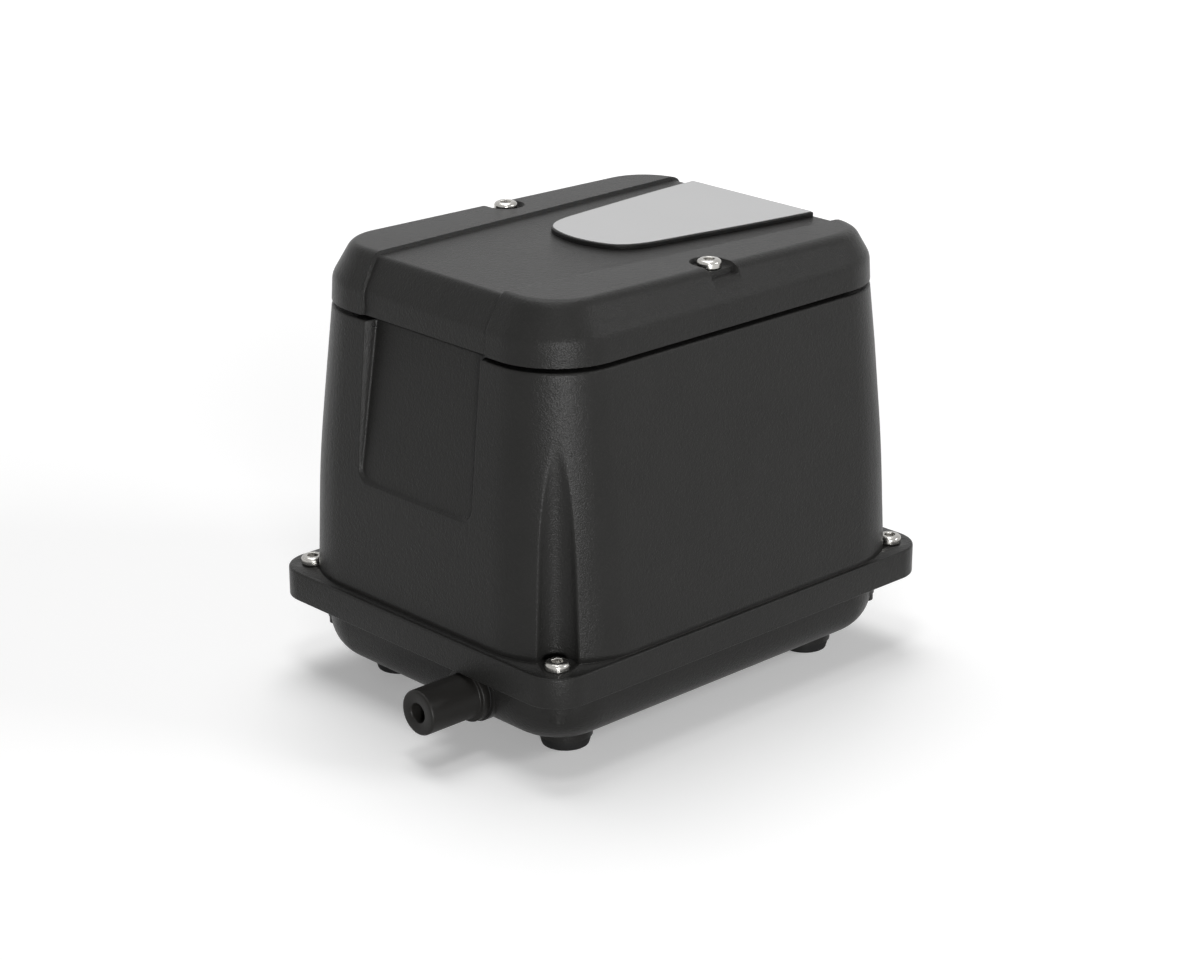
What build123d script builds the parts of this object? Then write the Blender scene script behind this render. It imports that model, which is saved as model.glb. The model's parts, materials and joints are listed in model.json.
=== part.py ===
"""Linear diaphragm air pump for a pond or aquarium, as an assembly of separate pieces.

Frame: millimetres, +Z up, origin on the floor at the centre of the four feet.
+X runs along the drive rod. The air outlet is at -X, and the cable gland at +X.

From the floor up: rubber feet, a bowl-shaped air tank (lower casing), a gasket and the tank
cover, the tapered upper casing with its screw flange, and the filter cover. A sprung drive sits
on the tank cover: two electromagnets move a magnet armature along X, and each end of its rod
drives a diaphragm in front of a pump head, which breathes through two rubber flap valves.
"""

import os
from math import atan2, copysign, degrees, hypot, radians, tan

from build123d import *

os.makedirs("parts", exist_ok=True)

# ---------------------------------------------------------------- driving dimensions
# Overall heights
tank_bottom_z = 8.0
flange_bottom_z = 33.5
flange_top_z = 45.7
casing_knee_z = 93.4
casing_top_z = 156.9
cover_gap = 1.9
cover_skirt_height = 9.7
cover_height = 23.7

# Half sizes in plan of the upper casing at its foot, knee and top, with corner radii
foot_half_x, foot_half_y, foot_corner = 101.8, 82.9, 38.0
knee_half_x, knee_half_y, knee_corner = 100.2, 79.0, 34.1
top_half_x, top_half_y, top_corner = 94.3, 72.1, 28.8
knee_blend = 15.0
casing_wall = 2.8

# Flange, its screws and the flutes that clear them
flange_half_x, flange_half_y, flange_corner = 104.4, 83.6, 14.7
flange_plate = 3.2
flange_rim_wall = 3.0
flange_ledge = 3.0
shadow_groove = 0.8
screw_x, screw_y = 93.0, 72.7
flute_radius = 8.4

# Deck of the upper casing, with the neck that the filter cover fits over
deck_thickness = 3.0
neck_half_x, neck_half_y, neck_corner = 83.5, 66.0, 20.0
neck_height = 6.0
neck_wall = 2.2
air_hole_x, air_hole_y = 90.0, 36.0
grille_bars = 5
grille_bar_width = 2.4
grille_corner = 2.0

# Air intake recess in the -X face, deepest under the filter cover
intake_half_y = 33.0
intake_bottom_z = 93.6
intake_depth_top = 6.1
intake_depth_bottom = 1.4
intake_corner = 6.0

# Filter cover
cover_wall = 2.6
skirt_draft = 3.0
shoulder_taper = 30.0
shoulder_round = 8.0
crest_round = 6.0
top_fall = 0.9
band_depth = 1.4
band_half_front, band_half_back = 35.4, 47.0
cover_screw_y = 57.7
pocket_radius = 7.5
pocket_depth = 2.0
pocket_fall = 2.2
pocket_margin = 0.8
boss_wall = 1.2

# Label platform and label on the filter cover
label_front_x, label_back_x = -8.0, 84.0
label_half_front, label_half_back = 23.7, 35.4
label_bow = 8.5
label_corner = 8.0
platform_rise = 2.0
label_thickness = 0.3
label_border = 0.2

# Filter
filter_half_x, filter_half_y, filter_corner = 77.0, 49.0, 8.0
filter_height = 12.0

# Air tank (lower casing)
tank_half_x, tank_half_y, tank_corner = 96.5, 74.6, 26.0
tank_round = 17.4
tank_wall = 3.0
tank_lip_width, tank_lip_height = 7.0, 4.0
tank_boss_radius = 5.2
tank_boss_floor = 1.0
rib_radii = (9.0, 3.2)
rib_bottoms = (23.8, 20.3)
rib_rises = (1.4, 1.0)
lip_clearance = 0.5
gasket_thickness = 1.0
cover_plate = 3.0

# Feet
foot_x, foot_y = 67.7, 49.6
foot_radius = 10.2
foot_height = 4.0
foot_taper = 0.8
foot_boss_wall = 0.5
foot_stem_radius = 4.0
foot_stem_length = 6.0

# Air outlet nozzle on the tank's -X face
nozzle_y, nozzle_z = -29.5, 23.3
nozzle_end_x = -125.0
nozzle_radius, nozzle_bore = 9.0, 3.85
nozzle_round = 1.0
collar_radius, collar_thickness = 10.8, 3.4
nozzle_boss_border = 0.8
collar_x = -101.1
nozzle_seal_thickness = 0.8
spigot_radius = 7.0
spigot_length = 9.0

# Cable gland on the upper casing's +X face
gland_y, gland_z = 42.0, 66.0
gland_end_x = 125.0
gland_thread_radius = 8.0
gland_hex = 19.0
gland_hex_length = 5.0
gland_seat_x = 102.8
gland_seat_radius = 12.5
gland_cable_radius, gland_mouth_gap = 3.6, 1.0
gland_bush_radius, gland_bush_length = 6.2, 8.8
gland_nut_radius, gland_nut_end = 9.4, 3.0
gland_thread_inside = 10.0
gland_seat_back = 1.0
gland_locknut_thickness, gland_locknut_flats = 3.5, 21.0

# Drive: frame, electromagnets and armature
axis_z = 95.0
mount_height = 9.5
frame_plate = 3.0
frame_half_x, frame_half_y, frame_corner = 51.0, 48.0, 4.0
head_half = 36.0
head_corner = 8.0
mount_x, mount_y, mount_radius = 42.5, 36.0, 6.5
mount_chamfer = 1.0
rail_width = 8.0
core_half_x, core_stack = 36.0, 30.0
core_back_y = 45.0
pole_face_y = 10.0
yoke_thickness = 8.0
outer_leg_width = 7.0
centre_leg_width = 14.0
core_screw_inset = 4.0
bobbin_wall = 1.2
bobbin_flange = 1.0
bobbin_corner = 1.0
coil_thickness_x, coil_thickness_z = 16.0, 10.0
coil_corner = 6.0
armature_half_x, armature_half_z = 33.0, 13.0
armature_half_y, armature_corner = 6.0, 2.0
magnet_centre_x, magnet_length = 18.0, 14.0
magnet_half_y = 7.5
magnet_border = 4.0
rod_radius, rod_shoulder_radius = 4.0, 6.0

# Diaphragm, hub plates and pump heads, measured along the rod from the centre
diaphragm_rim_radius, diaphragm_free_radius = 34.0, 30.0
diaphragm_rim_thickness, diaphragm_thickness = 2.0, 1.5
diaphragm_dish = 5.5
hub_radius, hub_plate_thickness = 14.0, 2.5
rod_nut_height, rod_nut_hex = 4.5, 11.0
chamber_depth = 17.0
valve_plate = 3.0
valve_offset_z = 15.0
valve_port_radius = 4.5
flap_length, flap_width, flap_thickness = 16.0, 14.0, 0.8
flap_corner = 2.0
flap_hinge_offset = 24.0
retainer_height, retainer_thickness = 3.6, 2.2
head_cover_depth = 14.0
head_cover_wall = 2.6
head_screw_offset = 30.0
head_port_radius = 4.5
head_spigot_radius, head_spigot_length = 6.0, 7.0
inlet_slot_count, inlet_slot_width, inlet_slot_length = 3, 5.0, 8.0
inlet_slot_corner = 2.0
head_port_inset = 6.5
boot_wall = 2.2
boot_bead, boot_bead_half = 1.6, 2.0
stub_height = 5.0

# Terminal block beside the gland
terminal_x, terminal_y = 66.0, 58.0
terminal_length, terminal_width, terminal_height = 32.0, 13.0, 14.0
terminal_count = 3
terminal_corner = 1.0

# Fasteners: shank radius, head radius, head height
m3 = (1.5, 2.8, 1.8)
m4 = (2.0, 3.6, 2.4)
m5 = (2.5, 4.75, 3.4)
crown_share = 0.45
socket_share = 0.5
socket_depth_share = 0.6

# Clearances
fit_clearance = 0.1
seat_gap = 0.3
thread_clearance = 0.05

# ---------------------------------------------------------------- derived positions
cover_bottom_z = casing_top_z + cover_gap
cover_top_z = casing_top_z + cover_height
cover_screw_seat_z = cover_top_z - pocket_depth
flange_under_z = flange_top_z - flange_plate
plate_bottom_z = flange_under_z - cover_plate
lip_z = plate_bottom_z - gasket_thickness
frame_bottom_z = flange_under_z + mount_height
frame_floor_z = frame_bottom_z + frame_plate
rim_x = frame_half_x
chamber_x = rim_x + diaphragm_rim_thickness
valve_x = chamber_x + chamber_depth
cover_x = valve_x + valve_plate
head_end_x = cover_x + head_cover_depth
lip_half_x = flange_half_x - flange_rim_wall - lip_clearance
lip_half_y = flange_half_y - flange_rim_wall - lip_clearance
lip_corner = flange_corner - flange_rim_wall - lip_clearance
hole_half_x = tank_half_x - tank_lip_width
hole_half_y = tank_half_y - tank_lip_width
hole_corner = tank_corner - tank_lip_width
nozzle_seat_x = collar_x + collar_thickness + nozzle_seal_thickness
core_low_z = axis_z - core_stack / 2
core_high_z = axis_z + core_stack / 2
rail_y = core_back_y - yoke_thickness / 2
core_screw_x = core_half_x - core_screw_inset
head_floor_z = axis_z - head_half
hub_x = rim_x + diaphragm_dish
port_x = cover_x + head_port_inset


# ---------------------------------------------------------------- shared helpers
def save(part, name):
    """Label one finished piece and write it as its own node."""
    part.label = name
    export_step(part, f"parts/{name}.step")


def corners(x, y):
    """The four mirrored positions of a rectangular pattern."""
    return [(x, y), (-x, y), (-x, -y), (x, -y)]


def rounded_prism(half_x, half_y, corner, z_low, z_high, taper=0.0):
    """A rounded rectangle standing from z_low to z_high, narrowing by its taper in degrees."""
    with BuildPart() as prism:
        with BuildSketch(Plane.XY.offset(z_low)):
            RectangleRounded(2 * half_x, 2 * half_y, corner)
        extrude(amount=z_high - z_low, taper=taper)
    return prism.part


def casing_section(z):
    """Half length, half width and corner radius of the upper casing's outside at a height."""
    foot = (foot_half_x, foot_half_y, foot_corner)
    knee = (knee_half_x, knee_half_y, knee_corner)
    top = (top_half_x, top_half_y, top_corner)
    if z < casing_knee_z:
        share = (z - flange_top_z) / (casing_knee_z - flange_top_z)
        low, high = foot, knee
    else:
        share = (z - casing_knee_z) / (casing_top_z - casing_knee_z)
        low, high = knee, top
    return [a + (b - a) * share for a, b in zip(low, high)]


# Inner face of the gland's seat, a little inside the sloping wall
gland_back_x = casing_section(gland_z)[0] - casing_wall - gland_seat_back


def casing_body(inset, z_low, z_high):
    """The tapered body of the upper casing, drawn in by inset, lofted with a soft knee."""
    with BuildPart() as body:
        for z in (z_low, casing_knee_z - knee_blend, casing_knee_z + knee_blend, z_high):
            half_x, half_y, corner = casing_section(z)
            with BuildSketch(Plane.XY.offset(z)):
                RectangleRounded(2 * (half_x - inset), 2 * (half_y - inset), corner - inset)
        loft()
    return body.part


def screw_set(size, places, seat_z, length):
    """Pan-head screws with a hexagon socket, standing head up at the given places."""
    shank, head, height = size
    with BuildPart() as screws:
        with BuildSketch(Plane.XY.offset(seat_z)):
            with Locations(*places):
                Circle(shank)
        extrude(amount=-length)
        with BuildSketch(Plane.XY.offset(seat_z)):
            with Locations(*places):
                Circle(head)
        extrude(amount=height)
        crowns = screws.edges().filter_by(GeomType.CIRCLE).group_by(Axis.Z)[-1]
        fillet(crowns, radius=height * crown_share)
        with BuildSketch(Plane.XY.offset(seat_z + height)):
            with Locations(*places):
                RegularPolygon(head * socket_share, 6)
        extrude(amount=-height * socket_depth_share, mode=Mode.SUBTRACT)
    return screws.part


def end_plane(x):
    """A sketch plane facing along the rod at one distance from the centre."""
    return Plane(origin=(x, 0, axis_z), x_dir=(0, 1, 0), z_dir=(1, 0, 0))


def nozzle_face(x):
    """A sketch plane across the outlet's axis, looking out at -X."""
    return Plane(origin=(x, nozzle_y, nozzle_z), x_dir=(0, -1, 0), z_dir=(-1, 0, 0))


def gland_face(x):
    """A sketch plane across the gland's axis, looking out at +X."""
    return Plane(origin=(x, gland_y, gland_z), x_dir=(0, 1, 0), z_dir=(1, 0, 0))


def save_ends(part, name):
    """Write a piece of the +X end as the right one and its mirror image as the left one."""
    save(part, f"{name}_right")
    save(part.mirror(Plane.YZ), f"{name}_left")


def save_front_back(part, name):
    """Write a piece of the +Y side as the back one and its mirror image as the front one."""
    save(part, f"{name}_back")
    save(part.mirror(Plane.XZ), f"{name}_front")


# ---------------------------------------------------------------- outer casing pieces
def intake_block(wall):
    """The wedge cut out for the air intake, or, with a wall, the wedge that backs it inside."""
    top_x = intake_depth_top - casing_section(casing_top_z)[0] + wall
    low_x = intake_depth_bottom - casing_section(intake_bottom_z)[0] + wall
    low_z = intake_bottom_z - wall
    with BuildPart() as block:
        with BuildSketch(Plane.XZ.offset(-intake_half_y - wall)):
            with BuildLine():
                Polyline(
                    (top_x, cover_bottom_z),
                    (low_x, low_z),
                    (-flange_half_x, low_z),
                    (-flange_half_x, cover_bottom_z),
                    close=True,
                )
            make_face()
        extrude(amount=2 * (intake_half_y + wall))
        fillet(block.edges().filter_by(Axis.X).group_by(Axis.Z)[0], radius=intake_corner + wall)
    return block.part


def upper_casing():
    """Tapered shell with its flange, fluted corners, deck, neck, intake recess and gland seat."""
    shell = casing_body(0, flange_top_z, casing_top_z)
    deck_under_z = casing_top_z - deck_thickness
    cavity = casing_body(casing_wall, flange_top_z, casing_top_z)
    ledge_inset = casing_wall + flange_ledge
    low_cavity = rounded_prism(
        foot_half_x - ledge_inset,
        foot_half_y - ledge_inset,
        foot_corner - ledge_inset,
        flange_under_z,
        flange_top_z,
    )
    with BuildPart() as flutes:
        with BuildSketch(Plane.XY.offset(flange_top_z)):
            with Locations(*corners(screw_x, screw_y)):
                Circle(flute_radius)
        extrude(amount=casing_top_z - flange_top_z)
    with BuildPart() as flute_backing:
        with BuildSketch(Plane.XY.offset(flange_under_z)):
            with Locations(*corners(screw_x, screw_y)):
                Circle(flute_radius + casing_wall)
        extrude(amount=casing_top_z - flange_under_z)
    with BuildPart() as hollow:
        add(cavity)
        add(low_cavity)
        with BuildSketch(Plane.XY.offset(deck_under_z)):
            RectangleRounded(2 * flange_half_x, 2 * flange_half_y, flange_corner)
        extrude(amount=deck_thickness, mode=Mode.SUBTRACT)
        add(flute_backing.part, mode=Mode.SUBTRACT)
        add(intake_block(casing_wall), mode=Mode.SUBTRACT)
    with BuildPart() as casing:
        add(shell)
        add(flutes.part, mode=Mode.SUBTRACT)
        # Shadow groove where the body meets the flange
        with BuildSketch(Plane.XY.offset(flange_top_z)):
            RectangleRounded(2 * flange_half_x, 2 * flange_half_y, flange_corner)
            drawn = [v - shadow_groove for v in (foot_half_x, foot_half_y, foot_corner)]
            RectangleRounded(2 * drawn[0], 2 * drawn[1], drawn[2], mode=Mode.SUBTRACT)
        extrude(amount=shadow_groove, mode=Mode.SUBTRACT)
        with BuildSketch(Plane.XY.offset(flange_bottom_z)):
            RectangleRounded(2 * flange_half_x, 2 * flange_half_y, flange_corner)
        extrude(amount=flange_top_z - flange_bottom_z)
        add(intake_block(0), mode=Mode.SUBTRACT)
        # Inside of the flange's rim, over the tank's lip
        with BuildSketch(Plane.XY.offset(flange_bottom_z)):
            RectangleRounded(
                2 * (flange_half_x - flange_rim_wall),
                2 * (flange_half_y - flange_rim_wall),
                flange_corner - flange_rim_wall,
            )
        extrude(amount=flange_under_z - flange_bottom_z, mode=Mode.SUBTRACT)
        # Main cavity, kept away from the flutes and the intake recess
        add(hollow.part, mode=Mode.SUBTRACT)
        # Neck and screw posts for the filter cover
        with BuildSketch(Plane.XY.offset(casing_top_z)):
            RectangleRounded(2 * neck_half_x, 2 * neck_half_y, neck_corner)
            inner = (neck_half_x - neck_wall, neck_half_y - neck_wall, neck_corner - neck_wall)
            RectangleRounded(2 * inner[0], 2 * inner[1], inner[2], mode=Mode.SUBTRACT)
        extrude(amount=neck_height)
        post_top_z = cover_screw_seat_z - pocket_fall - cover_wall - seat_gap
        with BuildSketch(Plane.XY.offset(casing_top_z)):
            with Locations((0, cover_screw_y), (0, -cover_screw_y)):
                Circle(m5[0] + casing_wall)
        extrude(amount=post_top_z - casing_top_z)
        with BuildSketch(Plane.XY.offset(post_top_z)):
            with Locations((0, cover_screw_y), (0, -cover_screw_y)):
                Circle(m5[0] + thread_clearance)
        extrude(amount=-(post_top_z - deck_under_z), mode=Mode.SUBTRACT)
        # Air hole in the deck, crossed by grille bars
        pitch = air_hole_x / (grille_bars + 1)
        with BuildSketch(Plane.XY.offset(deck_under_z)):
            with GridLocations(pitch, 0, grille_bars + 1, 1):
                RectangleRounded(pitch - grille_bar_width, air_hole_y, grille_corner)
        extrude(amount=deck_thickness, mode=Mode.SUBTRACT)
        # Screw holes in the flange
        with BuildSketch(Plane.XY.offset(flange_under_z)):
            with Locations(*corners(screw_x, screw_y)):
                Circle(m5[0] + thread_clearance)
        extrude(amount=flange_plate, mode=Mode.SUBTRACT)
        # Flat seat and hole of the cable gland
        seat = gland_face(gland_seat_x)
        with BuildSketch(seat):
            Circle(gland_seat_radius)
        extrude(amount=gland_back_x - gland_seat_x)
        with BuildSketch(seat):
            Circle(gland_thread_radius + fit_clearance)
        extrude(amount=-2 * gland_seat_radius, mode=Mode.SUBTRACT)
    save(casing.part, "upper_casing")


def cover_blank(inset):
    """The filter cover's solid outer form, drawn in by inset on the sides and the top."""
    skirt_z = cover_bottom_z + cover_skirt_height
    shoulder_inset = cover_skirt_height * tan(radians(skirt_draft))
    with BuildPart() as blank:
        with BuildSketch(Plane.XY.offset(cover_bottom_z)):
            RectangleRounded(
                2 * (top_half_x - inset), 2 * (top_half_y - inset), top_corner - inset
            )
        extrude(amount=cover_skirt_height, taper=skirt_draft)
        drawn = inset + shoulder_inset
        with BuildSketch(Plane.XY.offset(skirt_z)):
            RectangleRounded(
                2 * (top_half_x - drawn), 2 * (top_half_y - drawn), top_corner - drawn
            )
        extrude(amount=cover_top_z + platform_rise - skirt_z, taper=shoulder_taper)
        fall = tan(radians(top_fall))
        lid = Plane(origin=(0, 0, cover_top_z - inset), z_dir=(fall, 0, 1))
        split(bisect_by=lid, keep=Keep.BOTTOM)
        shoulder = blank.edges().filter_by_position(Axis.Z, skirt_z - 0.01, skirt_z + 0.01)
        fillet(shoulder, radius=shoulder_round)
        fillet(blank.faces().sort_by(Axis.Z)[-1].edges(), radius=crest_round - inset)
    return blank.part


def label_outline(border):
    """Outline of the label platform: a bowed front, sides that widen to the back."""
    slope = (label_half_back - label_half_front) / (label_back_x - label_front_x)
    front, back = label_front_x + border, label_back_x - border
    half_front = label_half_front - border
    half_back = half_front + slope * (back - front)
    with BuildSketch(mode=Mode.PRIVATE) as outline:
        with BuildLine():
            Polyline((front, half_front), (back, half_back), (back, -half_back), (front, -half_front))
            ThreePointArc((front, -half_front), (front - label_bow, 0), (front, half_front))
        make_face()
        fillet(outline.vertices().group_by(Axis.X)[0], radius=label_corner)
    return outline.sketch


def filter_cover():
    """Hollow cover with a recessed band, the label platform and two open screw pockets."""
    outer = cover_blank(0)
    inner = cover_blank(cover_wall)
    band_floor = cover_blank(band_depth)
    screw_places = [(0, cover_screw_y), (0, -cover_screw_y)]
    tall = 2 * (cover_top_z - cover_bottom_z)
    with BuildPart() as band:
        with BuildSketch(Plane.XY.offset(cover_bottom_z)):
            with BuildLine():
                Polyline(
                    (-top_half_x, -band_half_front),
                    (top_half_x, -band_half_back),
                    (top_half_x, band_half_back),
                    (-top_half_x, band_half_front),
                    close=True,
                )
            make_face()
        extrude(amount=tall)
        add(band_floor, mode=Mode.SUBTRACT)
    with BuildPart() as platform:
        with BuildSketch(Plane.XY.offset(cover_top_z - cover_skirt_height)):
            add(label_outline(0))
        extrude(amount=2 * cover_skirt_height)
        fall = tan(radians(top_fall))
        rise_z = cover_top_z - band_depth + platform_rise
        split(bisect_by=Plane(origin=(0, 0, rise_z), z_dir=(fall, 0, 1)), keep=Keep.BOTTOM)
    with BuildPart() as hollow:
        add(inner)
        with BuildSketch(Plane.XY.offset(cover_screw_seat_z - pocket_fall - cover_wall)):
            with Locations(*screw_places):
                Circle(pocket_radius + boss_wall)
        extrude(amount=tall, mode=Mode.SUBTRACT)
    with BuildPart() as cover:
        add(outer)
        add(band.part, mode=Mode.SUBTRACT)
        add(platform.part)
        add(hollow.part, mode=Mode.SUBTRACT)
        for way in (1, -1):
            with BuildSketch(Plane.XY.offset(cover_screw_seat_z)):
                with Locations((0, way * cover_screw_y)):
                    Circle(pocket_radius)
                with Locations((0, way * (cover_screw_y + pocket_radius))):
                    Rectangle(2 * pocket_radius, 2 * pocket_radius)
            extrude(amount=tall, mode=Mode.SUBTRACT)
            step_y = cover_screw_y + m5[1] + pocket_margin
            with BuildSketch(Plane.XY.offset(cover_screw_seat_z - pocket_fall)):
                with Locations((0, way * (step_y + pocket_radius))):
                    Rectangle(2 * pocket_radius, 2 * pocket_radius)
            extrude(amount=tall, mode=Mode.SUBTRACT)
        with BuildSketch(Plane.XY.offset(cover_screw_seat_z)):
            with Locations(*screw_places):
                Circle(m5[0] + 2 * fit_clearance)
        extrude(amount=-2 * (cover_wall + pocket_fall), mode=Mode.SUBTRACT)
    save(cover.part, "filter_cover")


def label_plate():
    """Thin blank metal label on the cover's platform."""
    fall = tan(radians(top_fall))
    base_z = cover_top_z - band_depth + platform_rise
    with BuildPart() as label:
        with BuildSketch(Plane.XY.offset(cover_top_z - cover_skirt_height)):
            add(label_outline(label_border))
        extrude(amount=2 * cover_skirt_height)
        low = Plane(origin=(0, 0, base_z), z_dir=(fall, 0, 1))
        high = Plane(origin=(0, 0, base_z + label_thickness), z_dir=(fall, 0, 1))
        split(bisect_by=low, keep=Keep.TOP)
        split(bisect_by=high, keep=Keep.BOTTOM)
    save(label.part, "label_plate")


def filter_element():
    """Foam filter pad that lies on the deck over the air hole."""
    with BuildPart() as pad:
        with BuildSketch(Plane.XY.offset(casing_top_z)):
            RectangleRounded(2 * filter_half_x, 2 * filter_half_y, filter_corner)
        extrude(amount=filter_height)
    save(pad.part, "filter_element")


def lower_casing():
    """Bowl-shaped air tank with its lip, corner bosses, foot bosses and nozzle boss."""
    foot_boss = foot_radius + foot_boss_wall
    nozzle_plane = nozzle_face(nozzle_seat_x)
    reach_x = screw_x - tank_half_x + tank_corner
    reach_y = screw_y - tank_half_y + tank_corner
    web_reach = hypot(reach_x, reach_y)
    web_length = web_reach - tank_corner + tank_wall / 2
    webs = [
        Location((x, y, 0), (0, 0, degrees(atan2(copysign(reach_y, y), copysign(reach_x, x)))))
        for x, y in corners(screw_x, screw_y)
    ]
    with BuildPart() as hollow:
        with BuildSketch(Plane.XY.offset(tank_bottom_z + tank_wall)):
            RectangleRounded(
                2 * (tank_half_x - tank_wall), 2 * (tank_half_y - tank_wall), tank_corner - tank_wall
            )
        extrude(amount=lip_z - tank_bottom_z - tank_wall)
        fillet(hollow.edges().group_by(Axis.Z)[0], radius=tank_round - tank_wall)
        # Sockets of the feet stay closed inside
        with BuildSketch(Plane.XY.offset(tank_bottom_z)):
            with Locations(*corners(foot_x, foot_y)):
                Circle(foot_stem_radius + tank_wall)
        socket_top_z = foot_height + foot_stem_length + fit_clearance + tank_wall
        extrude(amount=socket_top_z - tank_bottom_z, mode=Mode.SUBTRACT)
    with BuildPart() as tank:
        with BuildSketch(Plane.XY.offset(tank_bottom_z)):
            RectangleRounded(2 * tank_half_x, 2 * tank_half_y, tank_corner)
        extrude(amount=lip_z - tank_bottom_z)
        fillet(tank.edges().group_by(Axis.Z)[0], radius=tank_round)
        with BuildSketch(Plane.XY.offset(foot_height)):
            with Locations(*corners(foot_x, foot_y)):
                Circle(foot_boss)
        extrude(amount=tank_bottom_z + tank_round - foot_height)
        with BuildSketch(nozzle_plane):
            Circle(collar_radius + nozzle_boss_border)
        extrude(amount=-(tank_round + tank_half_x + nozzle_seat_x))
        add(hollow.part, mode=Mode.SUBTRACT)
        # Outward lip that closes the top of the flange's rim
        with BuildSketch(Plane.XY.offset(lip_z - tank_lip_height)):
            RectangleRounded(2 * lip_half_x, 2 * lip_half_y, lip_corner)
            RectangleRounded(2 * hole_half_x, 2 * hole_half_y, hole_corner, mode=Mode.SUBTRACT)
        extrude(amount=tank_lip_height)
        # Corner bosses for the casing screws, each tied to the wall by a web
        with BuildSketch(Plane.XY.offset(flange_bottom_z)):
            with Locations(*corners(screw_x, screw_y)):
                Circle(tank_boss_radius)
            with Locations(*webs):
                Rectangle(web_length, tank_boss_radius, align=(Align.MAX, Align.CENTER))
        extrude(amount=lip_z - flange_bottom_z)
        # Stepped half-round ribs that run down the tank's corners below the bosses
        for radius, bottom_z, rise in zip(rib_radii, rib_bottoms, rib_rises):
            inward = web_reach - tank_corner + radius - rise
            with BuildSketch(Plane.XY.offset(bottom_z)):
                with Locations(*[web * Location((-inward, 0, 0)) for web in webs]):
                    Circle(radius)
            extrude(amount=lip_z - bottom_z)
        with BuildSketch(Plane.XY.offset(lip_z)):
            with Locations(*corners(screw_x, screw_y)):
                Circle(m5[0] + thread_clearance)
        extrude(amount=flange_bottom_z + tank_boss_floor - lip_z, mode=Mode.SUBTRACT)
        with BuildSketch(Plane.XY.offset(foot_height)):
            with Locations(*corners(foot_x, foot_y)):
                Circle(foot_stem_radius + fit_clearance)
        extrude(amount=foot_stem_length + fit_clearance, mode=Mode.SUBTRACT)
        with BuildSketch(nozzle_plane):
            Circle(spigot_radius + fit_clearance)
        extrude(amount=-2 * tank_round, mode=Mode.SUBTRACT)
    save(tank.part, "lower_casing")


def fastening_screws():
    """The casing's four flange screws and the filter cover's two captive screws."""
    length = flange_top_z - flange_bottom_z - tank_boss_floor - seat_gap
    save(screw_set(m5, corners(screw_x, screw_y), flange_top_z, length), "casing_screws")
    places = [(0, cover_screw_y), (0, -cover_screw_y)]
    cover_length = cover_screw_seat_z - casing_top_z
    save(screw_set(m5, places, cover_screw_seat_z, cover_length), "filter_cover_screws")


def tank_gasket():
    """Flat rubber gasket between the tank's lip and the tank cover."""
    with BuildPart() as gasket:
        with BuildSketch(Plane.XY.offset(lip_z)):
            RectangleRounded(2 * lip_half_x, 2 * lip_half_y, lip_corner)
            RectangleRounded(2 * hole_half_x, 2 * hole_half_y, hole_corner, mode=Mode.SUBTRACT)
            with Locations(*corners(screw_x, screw_y)):
                Circle(m5[0] + fit_clearance, mode=Mode.SUBTRACT)
        extrude(amount=gasket_thickness)
    save(gasket.part, "tank_gasket")


def tank_cover():
    """Plate that closes the tank, carries the drive and takes the two air boots."""
    ports = [(port_x, 0), (-port_x, 0)]
    with BuildPart() as plate:
        with BuildSketch(Plane.XY.offset(plate_bottom_z)):
            RectangleRounded(2 * lip_half_x, 2 * lip_half_y, lip_corner)
            with Locations(*corners(screw_x, screw_y)):
                Circle(m5[0] + fit_clearance, mode=Mode.SUBTRACT)
        extrude(amount=cover_plate)
        with BuildSketch(Plane.XY.offset(flange_under_z)):
            with Locations(*ports):
                Circle(head_spigot_radius)
        extrude(amount=stub_height)
        with BuildSketch(Plane.XY.offset(flange_under_z + stub_height)):
            with Locations(*ports):
                Circle(head_port_radius)
        extrude(amount=-(stub_height + cover_plate), mode=Mode.SUBTRACT)
        with BuildSketch(Plane.XY.offset(flange_under_z)):
            with Locations(*corners(mount_x, mount_y)):
                Circle(m4[0] + thread_clearance)
            with Locations((terminal_x, terminal_y)):
                with GridLocations(terminal_length - 2 * m4[1], 0, 2, 1):
                    Circle(m3[0] + thread_clearance)
        extrude(amount=-cover_plate, mode=Mode.SUBTRACT)
    save(plate.part, "tank_cover")


def rubber_feet():
    """Four rubber feet that taper to the floor, each with a stem pressed into its boss."""
    with BuildPart() as feet:
        for x, y in corners(foot_x, foot_y):
            with BuildSketch(Plane(origin=(x, y, 0), x_dir=(1, 0, 0), z_dir=(0, -1, 0))):
                with BuildLine():
                    Polyline(
                        (0, 0),
                        (foot_radius - foot_taper, 0),
                        (foot_radius, foot_height),
                        (foot_stem_radius, foot_height),
                        (foot_stem_radius, foot_height + foot_stem_length),
                        (0, foot_height + foot_stem_length),
                        close=True,
                    )
                make_face()
            revolve(axis=Axis((x, y, 0), (0, 0, 1)))
    save(feet.part, "rubber_feet")


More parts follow.
